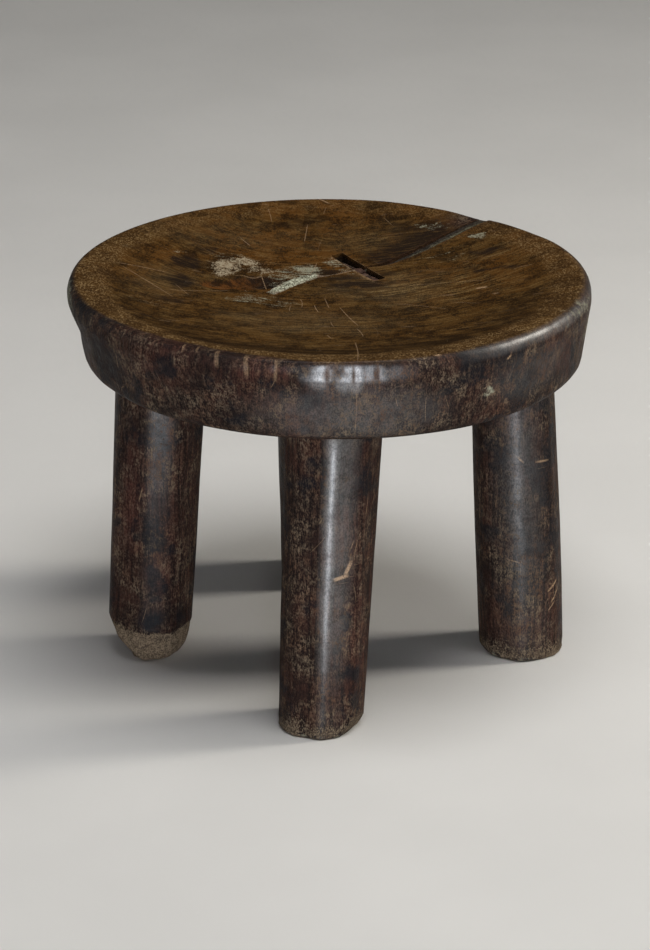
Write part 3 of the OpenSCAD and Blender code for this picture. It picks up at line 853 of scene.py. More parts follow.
POLISHED = Patches(4.0, 281, (
    (-6, -158, 237, 12, 30, 13, 0.58), (12, -158, 237, 12, 30, 14, 0.62), (26, -156, 239, 11, 30, 9, 0.5),
    (40, -153, 239, 16, 30, 9, 0.25), (14, -150, 214, 80, 30, 26, 0.36), (118, -104, 222, 50, 50, 22, 0.2),
    (150, 60, 226, 40, 60, 22, 0.2), (-40, 150, 224, 80, 40, 24, 0.2), (-120, 100, 228, 50, 50, 18, 0.16),
))
DULLED = Patches(0.8, 291, (
    (-1, -159, 240, 3.4, 9, 9, 1.0), (14.5, -158, 240, 1.5, 9, 10, 1.0), (28, -157, 240, 2.6, 9, 9, 1.0),
    (8, -159, 243, 1.4, 9, 4, 0.8),
))
RUBBED = Patches(18.0, 191, (
    (56, 16, 236, 78, 46, 30, 1.0), (-8, -44, 236, 80, 40, 30, 0.75), (-70, 98, 238, 70, 30, 30, 0.45),
    (30, 96, 238, 60, 30, 30, 0.5), (-104, 10, 238, 30, 44, 30, 0.6), (104, 60, 240, 40, 30, 30, 0.7),
))
CRUST = Patches(8.0, 211, (
    (-65, 50, 236, 14, 20, 20, 1.05), (-52, 60, 236, 16, 9, 20, 0.85), (-44, 49, 234, 13, 11, 20, 0.95),
    (-91, 66, 238, 7, 6, 20, 0.5), (-86, 18, 236, 6, 5, 20, 0.45),
))
# Pale chalky patches, and painted highlight: the patches on the right crest at (151, -44, 242), (156, -20, 237) and
# (143, -64, 244) paint the cream highlight line that the right lamp only partly gives, and the one on the far left
# crest at (-157, -14, 239) is painted sheen.
CHALK_AND_SHEEN = Patches(5.0, 221, (
    (-49, -2, 232, 22, 12, 20, 0.95), (-32, -8, 232, 18, 8, 20, 0.55), (-24, 40, 232, 24, 24, 20, 0.75),
    (-15, 52, 232, 14, 12, 20, 1.15), (10, 42, 232, 30, 9, 20, 0.3), (40, 16, 232, 70, 24, 20, 0.14),
    (3, 66, 232, 9, 13, 20, 0.85), (12, 54, 232, 8, 9, 20, 0.8), (67, 114, 243, 17, 8, 20, 0.7),
    (-58, 60, 236, 36, 26, 20, 0.32), (94, 92, 243, 9, 7, 20, 1.6), (-110, -26, 240, 26, 16, 20, 0.25),
    (72, 66, 240, 24, 10, 20, 0.4), (91.6, -126, 219, 5, 5, 4.5, 1.4), (151, -44, 242, 14, 36, 7, 0.9),
    (156, -20, 237, 10, 26, 13, 0.65), (143, -64, 244, 14, 26, 4, 0.5), (156, -24, 226, 12, 26, 24, 1.0),
    (-157, -14, 239, 9, 44, 9, 1.3),
))
STAIN = Patches(7.0, 231, (
    (-88, 52, 238, 15, 20, 25, 0.85), (-92, 20, 238, 12, 22, 25, 0.8), (-76, 72, 238, 16, 10, 25, 0.6),
    (-4, 52, 232, 16, 9, 25, 0.75), (8, 40, 232, 26, 8, 25, 0.6), (34, 72, 234, 20, 12, 25, 0.7),
    (36, 48, 234, 12, 6, 25, 0.5), (-52, 90, 238, 6, 9, 25, 0.8), (100, 68, 241, 20, 9, 25, 0.8),
    (100, 40, 240, 30, 8, 25, 0.7), (-96, -18, 238, 18, 8, 25, 0.6), (-20, 118, 240, 30, 12, 25, 0.4),
    (50, 108, 242, 30, 20, 25, 0.55), (-124, 62, 242, 10, 8, 25, 0.5), (-39, 33, 232, 9, 9, 25, 0.95),
    (18, 28, 232, 36, 9, 25, 0.85), (58, 40, 234, 26, 6, 25, 0.5), (-58, -30, 234, 40, 6, 25, 0.5),
))
RED = Patches(8.0, 252, (
    (-122, -30, 105, 14, 20, 52, 0.9), (-104, -36, 70, 14, 20, 40, 0.7), (-30, -132, 110, 8, 16, 40, 0.5),
    (-44, -154, 240, 9, 20, 8, 0.8), (-26, -157, 240, 12, 20, 7, 0.9), (-98, -124, 236, 34, 30, 16, 0.5),
    (18, -130, 70, 10, 14, 50, 0.5), (134, -84, 226, 30, 40, 16, 0.4),
))
# Dark patches of sooty dirt, and painted shade: the patch at (-92, -24, 30) is a painted shadow under the step above
# the left foot's worn sill, and the one at (-136, -78, 224) is painted shade on the seat's far left side.
SOOT_AND_SHADE = Patches(5.0, 251, (
    (-112, -34, 31, 14, 26, 9, 1.3), (-92, -24, 30, 6, 12, 13, 0.9), (-12.7, -149, 203.4, 5, 8, 5, 0.9),
    (-30, -140, 170, 16, 22, 22, 0.7), (-136, -78, 224, 26, 52, 20, 0.7), (110, -100, 228, 50, 40, 9, 0.4),
    (108, -24, 120, 14, 20, 30, 0.2),
))
TAN = Patches(6.0, 261, (
    (-106, -33, 42, 8, 14, 4, 1.4), (-80, -132, 212, 34, 20, 16, 0.8), (90, -122, 212, 50, 30, 20, 0.75),
    (142, -16, 46, 9, 12, 22, 0.8), (-84, -20, 110, 9, 14, 60, 0.7), (-128, -26, 100, 8, 14, 60, 0.5),
    (20, -128, 90, 10, 16, 60, 0.5), (-26, -128, 60, 9, 14, 50, 0.3), (122, -26, 44, 32, 16, 54, 1.2),
    (130, -21, 134, 6, 6, 5, 0.8), (-26, -130, 176, 9, 12, 10, 0.7), (-40, -150, 206, 60, 20, 8, 0.6),
    (-140, -70, 240, 40, 50, 10, 0.8), (-152, 20, 240, 14, 60, 10, 0.8), (-36, -154, 238, 10, 9, 14, 0.7),
    (104, -28, 120, 12, 16, 90, 0.6), (136, -14, 120, 10, 16, 90, 0.7), (-4, -126, 14, 34, 20, 20, 0.9),
    (-112, -108, 218, 46, 36, 24, 0.7), (124, -96, 228, 44, 42, 20, 0.6), (126, -18, 178, 16, 16, 22, 0.6),
))


@dataclass(frozen=True)
class Block:
    """Seat and legs as one piece of wood, with the check, the slot and the prongs' holes cut out of it."""

    seat: Seat = Seat()
    cramp: Cramp = Cramp()
    scratches: Scratches = Scratches()
    hole_growth: float = 0.15
    sharp_angle: float = 32.0
    # By direction in degrees: how far the top's own look stops short of the rim, and the strength of the rim's crest
    # and of the border
    short: Rows = ((-180, 0), (-158, 1), (-138, 5.5), (-122, 8.5), (-104, 5), (-92, 0), (180, 0))
    crest: Rows = ((-180, 0.05), (-125, 0.05), (-110, 0.07), (-62, 0.07), (-52, 0.75), (-30, 0.8), (-12, 0.5),
                   (10, 0.3), (60, 0.15), (180, 0.05))
    border: Rows = ((-180, 1.0), (-90, 0.95), (-20, 0.9), (25, 0.95), (60, 0.5), (90, 0.25), (130, 0.5), (160, 0.9),
                    (180, 1.0))

    def carve(self) -> bpy.types.Object:
        """Unites the seat with the legs, cuts the pockets, marks the sharp edges, and keeps the masks."""
        piece = self.seat.blank()
        for leg in LEGS:
            apply_boolean(piece, leg.skin(), "UNION")
        apply_boolean(piece, self.seat.check.cutter(), "DIFFERENCE")
        apply_boolean(piece, self.cramp.slot_cutter(), "DIFFERENCE")
        apply_boolean(piece, self.cramp.staple(self.hole_growth, "prong_holes"), "DIFFERENCE")
        piece.name = piece.data.name = "carved_stool"
        piece.data.shade_smooth()
        piece.data.set_sharp_from_angle(angle=math.radians(self.sharp_angle))
        self.mark(piece.data)
        return piece

    def mark_polish(self, mesh: bpy.types.Mesh, p: Array, r: Array, degrees: Array) -> None:
        """Keeps how far handling has polished each point: the rim's crest, stretches of the side, and a band or two
        on each leg, each falling by a smooth step from its middle line.

        Args:
            mesh: the wood's mesh.
            p: its points in millimetres.
            r: their distances from the stool's axis.
            degrees: their directions from it.
        """
        crest = ease(152.5, 155.5, r) * ease(239, 242.5, p[:, 2]) * (0.7 + 0.3 * lumps(p, 9, 271, 3))
        crest *= np.interp(degrees, *zip(*self.crest))
        side = POLISHED.mask(p) * (p[:, 2] > 198) * (r > 140) * ease(246.2, 243.5, p[:, 2])
        dulled = DULLED.mask(p)
        near = np.full(len(p), np.inf)
        band = np.zeros(len(p))
        for leg in LEGS:
            gap = p[:, :2] - leg.middle(p[:, 2] / leg.under)
            away, way = np.hypot(gap[:, 0], gap[:, 1]), np.degrees(np.arctan2(gap[:, 1], gap[:, 0]))
            wander = 3.5 * lumps(p * (0, 0, 1), 30, leg.seed + 5)
            own = np.zeros(len(p))
            for middle, half, strength in leg.polished:
                off = np.abs((way - middle + wander + 180) % 360 - 180)
                own = np.maximum(own, strength * ease(1.0, 0.05, off / half))
            own *= 0.2 + 0.8 * ease(*leg.shine_rises, p[:, 2])
            band = np.where(away < near, own, band)
            near = np.minimum(near, away)
        band *= (p[:, 2] < 196.5) * (near < 40)
        store_mask(mesh, "polish", np.maximum(np.maximum(crest, side) * (1 - 0.85 * dulled), band))
        store_mask(mesh, "drip", dulled)

    def mark_slot(self, mesh: bpy.types.Mesh, p: Array, top: Array) -> None:
        """Keeps the distance from the slot's outline on the top, less along the side that is worn down, and a mask of
        painted shade inside the slot, stronger where the wood lies deeper below the top.
        """
        turn = np.radians(self.cramp.turn)
        gap = p[:, :2] - self.cramp.middle
        along = gap[:, 0] * np.cos(turn) + gap[:, 1] * np.sin(turn)
        beside = gap[:, 1] * np.cos(turn) - gap[:, 0] * np.sin(turn)
        out = np.maximum(np.abs(along) - self.cramp.slot_long / 2, np.abs(beside) - self.cramp.slot_wide / 2)
        worn_side = 1.0 - 0.72 * (beside > 0) * ease(24.6, 23.8, along) * ease(self.cramp.slot_wide * 0.4, 4.6, beside)
        on_surface = (top > 0.1) & (read_points(mesh, "normal")[:, 2] > 0.4)
        store(mesh, "slot_gap", np.where(on_surface, out * worn_side, FAR))
        # Painted shade in the slot's pocket, by depth below the top.
        deep = self.seat.top(np.hypot(p[:, 0], p[:, 1])) - p[:, 2] - self.seat.hollow(p[:, 0], p[:, 1])
        store_mask(mesh, "sunk", (out < 0.9) * ease(0.7, 2.2, deep) * (p[:, 2] > 222))

    def mark_dirt(self, mesh: bpy.types.Mesh, p: Array, r: Array, degrees: Array, top: Array) -> None:
        """Keeps the masks of what lies on the wood or has soaked in, and of painted light: crust, chalky deposits,
        stains, red and tan dirt, dust and sooty patches. A few chalky and tan patches on the rim's crest are painted
        highlight, and two dark patches painted shade. Patches give their places, and smooth steps of height or
        distance the bands at the feet, the check's banks and the rim.

        Args:
            mesh: the wood's mesh.
            p: its points in millimetres.
            r: their distances from the stool's axis.
            degrees: their directions from it.
            top: the mask of the seat's top.
        """
        height = p[:, 2]
        store_mask(mesh, "crust", CRUST.mask(p) * 0.82)
        rim = 0.6 * ease(4.6, 1.6, height + 2.0 * lumps(p, 5, 248)) * ease(-0.2, 0.4, lumps(p, 11, 249))
        store_mask(mesh, "chalk", np.maximum(CHALK_AND_SHEEN.mask(p) * 0.8, rim * (p[:, 0] > -70)))
        share, away, half = self.seat.check.measure(p)
        beside = away - half
        stained = ease(30, 2, np.abs(beside - 4)) * (away > 0) * ease(0.52, 0.62, share) * ease(0.95, 0.8, beside / 34)
        store_mask(mesh, "stain", np.maximum(STAIN.mask(p), 0.85 * stained) * top)
        store_mask(mesh, "bank", ease(1.6, 0.3, np.abs(away) - half) * (share > 0.46) * (height > 222) * (r > 35))
        store_mask(mesh, "red", RED.mask(p))
        low = height + 2.2 * lumps(p, 7, 241, 3)
        sole = 0.62 * ease(19, 4, low + 6.0 * lumps(p, 9, 243, 3)) + 0.2 * ease(5.5, 0.0, low)
        heel = ease(25.0, 18.5, low + 0.1 * (p[:, 0] + 113) + 3.0 * lumps(p, 4, 246))
        heel *= np.hypot(p[:, 0] + 112, p[:, 1] + 6) < 48
        store_mask(mesh, "dust", np.maximum(sole * (1 - rim), heel))
        store_mask(mesh, "soot", SOOT_AND_SHADE.mask(p))
        # Painted highlight: tan along the right-front crest, where the right lamp's highlight falls, brightens and
        # warms that line in colour. The tan mask carries it with the worn soles and the tan dirt.
        crest_highlight = ease(156, 158.5, r) * ease(240, 243, height) * ease(-64, -54, degrees) * ease(-8, -20, degrees)
        crest_highlight *= 0.75 + 0.5 * lumps(p, 5, 245)
        worn = np.maximum(crest_highlight, 0.8 * ease(20, 3, low + 4 * lumps(p, 12, 244)))
        store_mask(mesh, "tan", np.maximum(worn, TAN.mask(p)))

    def mark(self, mesh: bpy.types.Mesh) -> None:
        """Keeps the masks of wear, stain and dirt on the mesh's points, and of painted shade and painted highlight,
        worked out from their places.
        """
        p = read_points(mesh, "co") / MM
        r, turn = np.hypot(p[:, 0], p[:, 1]), np.arctan2(p[:, 1], p[:, 0])
        degrees, hollow = np.degrees(turn), self.seat.hollow(p[:, 0], p[:, 1])
        short = np.interp(degrees, *zip(*self.short))
        top = ease(3.2, 1.2, self.seat.top(r) - p[:, 2] - hollow)
        top = top * ease(157.5, 154, r + short * (1.0 + 0.25 * lumps(p, 7, 207, 3)))
        store_mask(mesh, "seat_top", top)
        store_mask(mesh, "rubbed", RUBBED.mask(p) * top)
        self.scratches.lay(mesh, p, top)
        ring = ease(131, 141, r + 3 * lumps(p, 16, 201)) * ease(159, 155.5, r) * (p[:, 2] > 236)
        store_mask(mesh, "border", ring * np.interp(degrees, *zip(*self.border)))
        # Painted shade: a ring just inside the border at the front, where the dish's inner face looks away from the
        # lamps, is darkened in colour.
        front = 0.5 - 0.5 * np.sin(turn)
        store_mask(mesh, "slope", ease(104, 124, r) * ease(142, 132, r) * ease(0.45, 1.0, front) * top)
        store_mask(mesh, "hollow", ease(0.4, 1.8, hollow) * (p[:, 2] > 220))
        self.mark_polish(mesh, p, r, degrees)
        self.mark_slot(mesh, p, top)
        store_mask(mesh, "leg", ease(198.5, 196.5, p[:, 2]))
        self.mark_dirt(mesh, p, r, degrees, top)


class Mask:
    """A number, vector or colour that varies over a surface, as the socket that gives it. Sums, differences, products,
    quotients and steps of masks are nodes in the same tree."""

    def __init__(self, brush: "Brush", socket: bpy.types.NodeSocket) -> None:
        """Keeps the socket, and the brush that writes its tree."""
        self.brush, self.socket = brush, socket

    def __add__(self, other: object) -> "Mask":
        """The sum of the mask and another, or a number."""
        return self.brush.math("ADD", self, other)

    def __sub__(self, other: object) -> "Mask":
        """The difference of the mask and another, or a number."""
        return self.brush.math("SUBTRACT", self, other)

    def __mul__(self, other: object) -> "Mask":
        """The product of the mask and another, or a number."""
        return self.brush.math("MULTIPLY", self, other)

    def __truediv__(self, other: object) -> "Mask":
        """The quotient of the mask and another, or a number."""
        return self.brush.math("DIVIDE", self, other)

    def __abs__(self) -> "Mask":
        """The mask's size without its sign."""
        return self.brush.math("ABSOLUTE", self)

    def step(self, low: object, high: object, to_low: float = 0.0, to_high: float = 1.0) -> "Mask":
        """A smooth step of the mask from low to high, onto the given range."""
        inputs = dict(enumerate((self, low, high, to_low, to_high)))
        return self.brush.add("MapRange", inputs, interpolation_type="SMOOTHSTEP")

    def under(self, share: object, colour: object) -> "Mask":
        """This colour with another laid over it, as far as the share says."""
        return self.brush.mix(share, self, colour)


class Brush:
    """Writes the nodes of one tree, so that a finish reads as a list of steps."""

    def __init__(self, tree: bpy.types.NodeTree) -> None:
        """Keeps the tree that the nodes go into."""
        self.tree = tree

    def put(self, socket: bpy.types.NodeSocket, value: object) -> None:
        """Links a mask to a node's input, or sets the input's number or colour."""
        if isinstance(value, Mask):
            self.tree.links.new(value.socket, socket)
        else:
            socket.default_value = (*value, 1.0) if socket.type == "RGBA" else value

    def add(self, kind: str, inputs: dict[str | int, object], out: str | int = 0, **settings: object) -> Mask:
        """A new node.

        Args:
            kind: the node's type, without the words that all shader nodes begin with.
            inputs: what goes into it, by the input's name or number.
            out: the output that is used.
            settings: the node's own settings.

        Returns:
            What comes out of it.
        """
        made = self.tree.nodes.new("ShaderNode" + kind)
        for name, value in settings.items():
            setattr(made, name, value)
        for key, value in inputs.items():
            self.put(made.inputs[key], value)
        return Mask(self, made.outputs[out])

    def math(self, operation: str, a: object, b: object = 0.0, clamp: bool = False) -> Mask:
        """A sum, product or other operation on two numbers."""
        return self.add("Math", {0: a, 1: b}, operation=operation, use_clamp=clamp)

    def most(self, a: object, b: object) -> Mask:
        """The larger of two numbers."""
        return self.math("MAXIMUM", a, b)

    def vector(self, operation: str, a: object, b: object = (0.0, 0.0, 0.0), out: str = "Vector") -> Mask:
        """An operation on two vectors."""
        return self.add("VectorMath", {0: a, 1: b}, out, operation=operation)

    def scaled(self, vector: Mask, by: object) -> Mask:
        """A vector times a number."""
        return self.add("VectorMath", {0: vector, "Scale": by}, operation="SCALE")

    def mix(self, share: object, a: object, b: object) -> Mask:
        """A mix of two colours."""
        return self.add("Mix", {0: share, 6: a, 7: b}, 2, data_type="RGBA")

    def mix_value(self, share: object, a: object, b: object) -> Mask:
        """A mix of two numbers."""
        return self.add("Mix", {0: share, 2: a, 3: b}, data_type="FLOAT")

    def noise(self, place: Mask, scale: object, detail: float = 3.0, rough: float = 0.5) -> Mask:
        """Noise about 0.5 at the given scale."""
        return self.add("TexNoise", {"Vector": place, "Scale": scale, "Detail": detail, "Roughness": rough}, "Fac")

    def bend(self, place: Mask, scale: float) -> Mask:
        """A small shift that wanders over the surface, about nought."""
        colour = self.add("TexNoise", {"Vector": place, "Scale": scale}, "Color")
        return self.vector("SUBTRACT", colour, (0.5, 0.5, 0.5))

    def cell_edges(self, place: Mask, scale: float) -> Mask:
        """The distance to the nearest edge of a pattern of cells."""
        return self.add("TexVoronoi", {"Vector": place, "Scale": scale}, "Distance", feature="DISTANCE_TO_EDGE")

    def part(self, vector: Mask, axis: str) -> Mask:
        """One part of a vector: X, Y or Z."""
        return self.add("SeparateXYZ", {0: vector}, axis)

    def joined(self, x: object, y: object, z: object) -> Mask:
        """A vector from its three parts."""
        return self.add("CombineXYZ", {0: x, 1: y, 2: z})

    def sweep(self, place: Mask, away: float) -> Mask:
        """Places turned into (arc, radius, height) about an upright axis far behind the seat, for wide curved
        streaks."""
        gap = self.vector("SUBTRACT", (0.0, away, 0.0), place)
        flat = self.vector("MULTIPLY", gap, (1.0, 1.0, 0.0))
        turn = self.math("ARCTAN2", self.part(gap, "X"), self.part(gap, "Y"))
        return self.joined(turn * away, self.vector("LENGTH", flat, out="Value"), self.part(place, "Z"))

    def turned(self, place: Mask, degrees: float) -> Mask:
        """Places turned about the upright axis."""
        return self.add("VectorRotate", {"Vector": place, "Angle": math.radians(degrees)}, rotation_type="Z_AXIS")

    def mask(self, name: str) -> Mask:
        """A mask kept on the piece's points."""
        return self.add("Attribute", {}, "Fac", attribute_name=name)

    def group(self, effect: bpy.types.NodeTree, **values: object) -> Mask:
        """A shared effect, placed with its own values."""
        return self.add("Group", values, node_tree=effect)

    def dress(self, values: dict[str, object], height: Mask | None = None, strength: float = 0.0,
              depth: float = 0.0) -> None:
        """Links or sets the named inputs of the material's surface shader.

        Args:
            values: the inputs' values by name.
            height: the relief, if there is one.
            strength: how strongly the relief turns the normals.
            depth: the relief's depth in metres.
        """
        if height is not None:
            relief = {"Strength": strength, "Distance": depth, "Height": height}
            values = {**values, "Normal": self.add("Bump", relief, "Normal")}
        shader = self.tree.nodes["Principled BSDF"]
        for name, value in values.items():
            self.put(shader.inputs[name], value)


def start_material(name: str) -> tuple[bpy.types.Material, Brush, Mask]:
    """A new material, the brush for its nodes, and the piece's own places in millimetres."""
    material = bpy.data.materials.new(name)
    material.use_nodes = True
    brush = Brush(material.node_tree)
    return material, brush, brush.scaled(brush.add("TexCoord", {}, "Object"), 1 / MM)


class Effects:
    """The effects that several finishes share, each a node group that is built once. Places are in millimetres."""

    def __init__(self) -> None:
        """Builds the groups."""
        self.streaks = self.make_streaks()
        self.grains = self.make_grains()
        self.hairs = self.make_hairs()

    @staticmethod
    def start(name: str, inputs: dict[str, object]) -> tuple[Brush, list[Mask]]:
        """An empty group with named inputs and one mask as output.

        Args:
            name: the group's name.
            inputs: each input's default value, a number or a vector.

        Returns:
            The brush for its tree, and its inputs in order.
        """
        tree = bpy.data.node_groups.new(name, "ShaderNodeTree")
        for label, value in inputs.items():
            kind = "NodeSocketVector" if isinstance(value, tuple) else "NodeSocketFloat"
            tree.interface.new_socket(label, in_out="INPUT", socket_type=kind).default_value = value
        tree.interface.new_socket("Mask", in_out="OUTPUT", socket_type="NodeSocketFloat")
        brush, given = Brush(tree), tree.nodes.new("NodeGroupInput")
        return brush, [Mask(brush, given.outputs[label]) for label in inputs]

    @staticmethod
    def finish(mask: Mask) -> bpy.types.NodeTree:
        """Sends a mask to its group's output, and returns the group."""
        tree = mask.brush.tree
        mask.brush.put(tree.nodes.new("NodeGroupOutput").inputs[0], mask)
        return tree

    def make_streaks(self) -> bpy.types.NodeTree:
        """Streaks along a grain: noise on stretched places that a wider noise bends first."""
        brush, (place, stretch, bend, low, high) = self.start("grain_streaks", {
            "Place": (0, 0, 0), "Stretch": (1, 1, 1), "Bend": 4.0, "Low": 0.35, "High": 0.65})
        bent = brush.vector("ADD", place, brush.scaled(brush.bend(place, 0.02), bend))
        fine = brush.noise(brush.vector("MULTIPLY", bent, stretch), 1.0, 5.0, 0.62)
        return self.finish(fine.step(low, high))

    def make_grains(self) -> bpy.types.NodeTree:
        """Grains of dirt: fine noise over a threshold that a wide noise and the amount raise and lower."""
        brush, (place, grain, patch, amount, low, high) = self.start("dirt_grains", {
            "Place": (0, 0, 0), "Grain": 1.0, "Patch": 0.06, "Amount": 0.5, "Low": 0.64, "High": 0.78})
        fine, wide = brush.noise(place, grain), brush.noise(place, patch)
        level = fine + wide.step(0.3, 0.7, -0.14, 0.14) + amount * 0.3
        return self.finish(level.step(low, high))

    def make_hairs(self) -> bpy.types.NodeTree:
        """Fine curved scratches: the thin bands where a stretched noise passes through its middle, in patches."""
        brush, (place, stretch, thin, amount) = self.start("hair_scratches", {
            "Place": (0, 0, 0), "Stretch": (1, 1, 1), "Thin": 0.008, "Amount": 0.5})
        bands = brush.noise(brush.vector("MULTIPLY", place, stretch), 1.0, 1.5, 0.4)
        line = (abs(bands - 0.5) / thin).step(1.0, 0.3)
        patch = brush.noise(place, 0.11, 2.0) + amount * 0.3
        return self.finish(line * patch.step(0.6, 0.72))


@dataclass(frozen=True)
class WoodFinish:
    """Old hardwood, handled dark: a rubbed brown top, and sides and legs with sooty, rust-red and tan dirt. Painted
    shade darkens the dish's inner face at the front, the slot's pocket and two dark patches, and painted highlight
    lies on the rim's crest.
    """

    top_dark: Colour = (0.0135, 0.0062, 0.0016)
    top_light: Colour = (0.071, 0.034, 0.0075)
    top_gold: Colour = (0.21, 0.13, 0.048)
    top_haze: Colour = (0.088, 0.063, 0.034)
    top_orange: Colour = (0.088, 0.034, 0.0055)
    border_tan: Colour = (0.25, 0.165, 0.076)
    border_brown: Colour = (0.068, 0.033, 0.0095)
    side_dark: Colour = (0.0085, 0.0056, 0.005)
    side_red: Colour = (0.052, 0.021, 0.0145)
    side_warm: Colour = (0.085, 0.03, 0.022)
    side_blue: Colour = (0.0075, 0.0075, 0.0095)
    side_rust: Colour = (0.118, 0.066, 0.041)
    side_tan: Colour = (0.2, 0.15, 0.1)
    stain: Colour = (0.0125, 0.0075, 0.0052)
    hollow: Colour = (0.105, 0.038, 0.0085)
    hollow_dark: Colour = (0.011, 0.005, 0.002)
    # Pale chalky dirt, also the colour of painted highlight on the rim's crest.
    chalk: Colour = (0.3, 0.295, 0.215)
    crust: Colour = (0.34, 0.29, 0.2)
    crust_dark: Colour = (0.19, 0.125, 0.072)
    dust: Colour = (0.2, 0.15, 0.1)
    dust_dark: Colour = (0.055, 0.038, 0.026)
    bare: Colour = (0.46, 0.3, 0.175)
    # Sooty dirt, also the colour of painted shade in two patches.
    soot: Colour = (0.0065, 0.0065, 0.0085)
    bank: Colour = (0.055, 0.026, 0.014)
    # The colour of the painted shade in the slot's pocket.
    sunk: Colour = (0.017, 0.0105, 0.006)
    # How far behind the stool's middle the axis lies that the top's wide streaks bend about, in millimetres
    sweep: float = 260.0

    def build(self, effects: Effects) -> bpy.types.Material:
        """The wood's material, with colour, roughness, coat and relief from its own masks and the shared effects."""
        material, brush, place = start_material("old_hardwood")
        mask, noise, most = brush.mask, brush.noise, brush.most
        top, border, leg = mask("seat_top"), mask("border"), mask("leg")

        def streaks(where: Mask, stretch: object, bend: float, low: float, high: float) -> Mask:
            """Streaks that run as the stretch says, with a smooth step from low to high."""
            return brush.group(effects.streaks, Place=where, Stretch=stretch, Bend=bend, Low=low, High=high)

        swept = brush.sweep(place, self.sweep)
        across = streaks(swept, Axis.ACROSS.value, 20.0, 0.34, 0.68)
        lines = streaks(swept, Axis.FINE_ACROSS.value, 20.0, 0.45, 0.63)
        upright = streaks(place, Axis.UPRIGHT.value, 5.0, 0.36, 0.66)
        fine_top = streaks(place, Axis.GRAIN_TOP.value, 0.0, 0.36, 0.64)
        fibres = streaks(place, brush.joined(1.3, 1.3, leg.step(0.0, 1.0, 0.75, 0.6)), 0.0, 0.38, 0.66)
        cloud = noise(place, 0.022, 4.0, 0.6).step(0.36, 0.64)
        cloud_fine = noise(place, 0.075, 4.0, 0.62).step(0.36, 0.64)
        mottle = noise(place, 0.33, 4.0, 0.65).step(0.34, 0.66)
        grit = noise(place, 1.15, 3.0, 0.6)
        rubbed = mask("rubbed")

        shade = ((across * 0.2 + cloud_fine * 0.32) + (mottle * 0.2 + fine_top * 0.28)).step(0.14, 0.82)
        seat = brush.mix(shade, self.top_dark, self.top_light)
        back = brush.part(place, "Y").step(-60.0, 110.0, 0.15, 1.0)
        seat = seat.under(back * cloud * shade.step(0.1, 0.8, 0.15, 0.9), self.top_orange)
        gold = lines * most(rubbed, cloud_fine * 0.6) * fine_top.step(0.0, 0.8, 0.45, 1.0)
        blotch = noise(place, 0.045, 5.0, 0.66).step(0.46, 0.34)
        seat = seat.under(blotch * 0.6, self.top_dark)
        haze = rubbed * brush.part(place, "X").step(95.0, 30.0) * mottle.step(0.0, 1.0, 0.5, 1.0)
        seat = seat.under(haze * 0.4, self.top_haze).under(gold * 0.62, self.top_gold)
        # Painted shade on the dish's inner face at the front, towards the top's dark colour.
        seat = seat.under(mask("slope") * across.step(0.0, 1.0, 0.85, 0.4), self.top_dark)
        seat = seat.under(border * fine_top.step(0.1, 0.9, 0.3, 0.75), self.border_brown)
        worn = (cloud_fine * 0.5 + mottle * 0.5).step(0.2, 0.8, 0.15, 1.0)
        seat = seat.under(border * fine_top.step(0.5, 1.0, 0.0, 0.75) * worn, self.border_tan)

        clumps = fibres * 0.42 + (mottle * 0.38 + upright * 0.2)
        side = brush.mix(cloud.step(0.0, 1.0, 0.25, 1.0) * (fibres * 0.5 + upright * 0.5), self.side_dark,
                         self.side_red)
        side = side.under(mask("red") * clumps.step(0.1, 0.8, 0.2, 0.8), self.side_warm)
        blue = noise(place, 0.042, 5.0, 0.62).step(0.52, 0.62)
        side = side.under(blue * 0.85, self.side_blue)
        spread = noise(place, 0.05, 5.0, 0.7).step(0.38, 0.62, 0.06, 1.0)
        # Tan dirt, and the painted highlight along the right-front crest.
        tan = most(spread, mask("tan")) * clumps.step(0.28, 0.92) * mask("polish").step(0.2, 0.7, 1.0, 0.3)
        side = side.under(tan * blue.step(0.0, 1.0, 0.9, 0.4), brush.mix(cloud_fine, self.side_rust, self.side_tan))
        side = side.under(upright.step(0.4, 0.0) * leg.step(0.0, 1.0, 0.25, 0.3), self.side_dark)
        # Sooty dirt, and painted shade in two of these patches.
        side = side.under(mask("soot") * mottle.step(0.0, 0.6, 0.5, 1.0), self.soot)
        side = side.under(mask("drip") * grit.step(0.4, 0.6, 0.2, 0.55), self.side_rust)

        colour = brush.mix(top, side, seat)
        specks = brush.mix_value(top, fibres, fine_top)
        ragged = (specks - 0.5) * 0.7
        patchy = ragged + (mottle - 0.5) * 0.55
        hollow = mask("hollow")
        warm = brush.part(place, "X").step(-38.0, -66.0, 0.3, 1.0) * (across * 0.5 + shade * 0.5).step(
            0.2, 0.8, 0.12, 1.0)
        colour = colour.under(hollow * 0.9, brush.mix(warm, self.hollow_dark, self.hollow))
        stain = (mask("stain") + patchy * 0.45).step(0.25, 0.85, 0.0, 0.9)
        colour = colour.under(stain * lines.step(0.2, 1.0, 1.0, 0.55), self.stain)
        # Pale chalky dirt, and painted highlight where its patches lie on the rim's crest.
        streaky = (lines - 0.4) * 0.5
        pale = (mask("chalk") + (patchy * 0.6 + streaky)).step(0.3, 1.3, 0.0, 0.8) * mask("chalk").step(0.0, 0.3)
        colour = colour.under(pale, self.chalk)
        crust = (mask("crust") + (patchy * 0.7 + (cloud_fine - 0.5) * 0.5)).step(0.25, 1.0)
        crust = crust * mask("crust").step(0.0, 0.25)
        colour = colour.under(crust * hollow.step(0.2, 0.9, 0.95, 0.1),
                              brush.mix(specks * 0.4 + mottle * 0.6, self.crust_dark, self.crust))

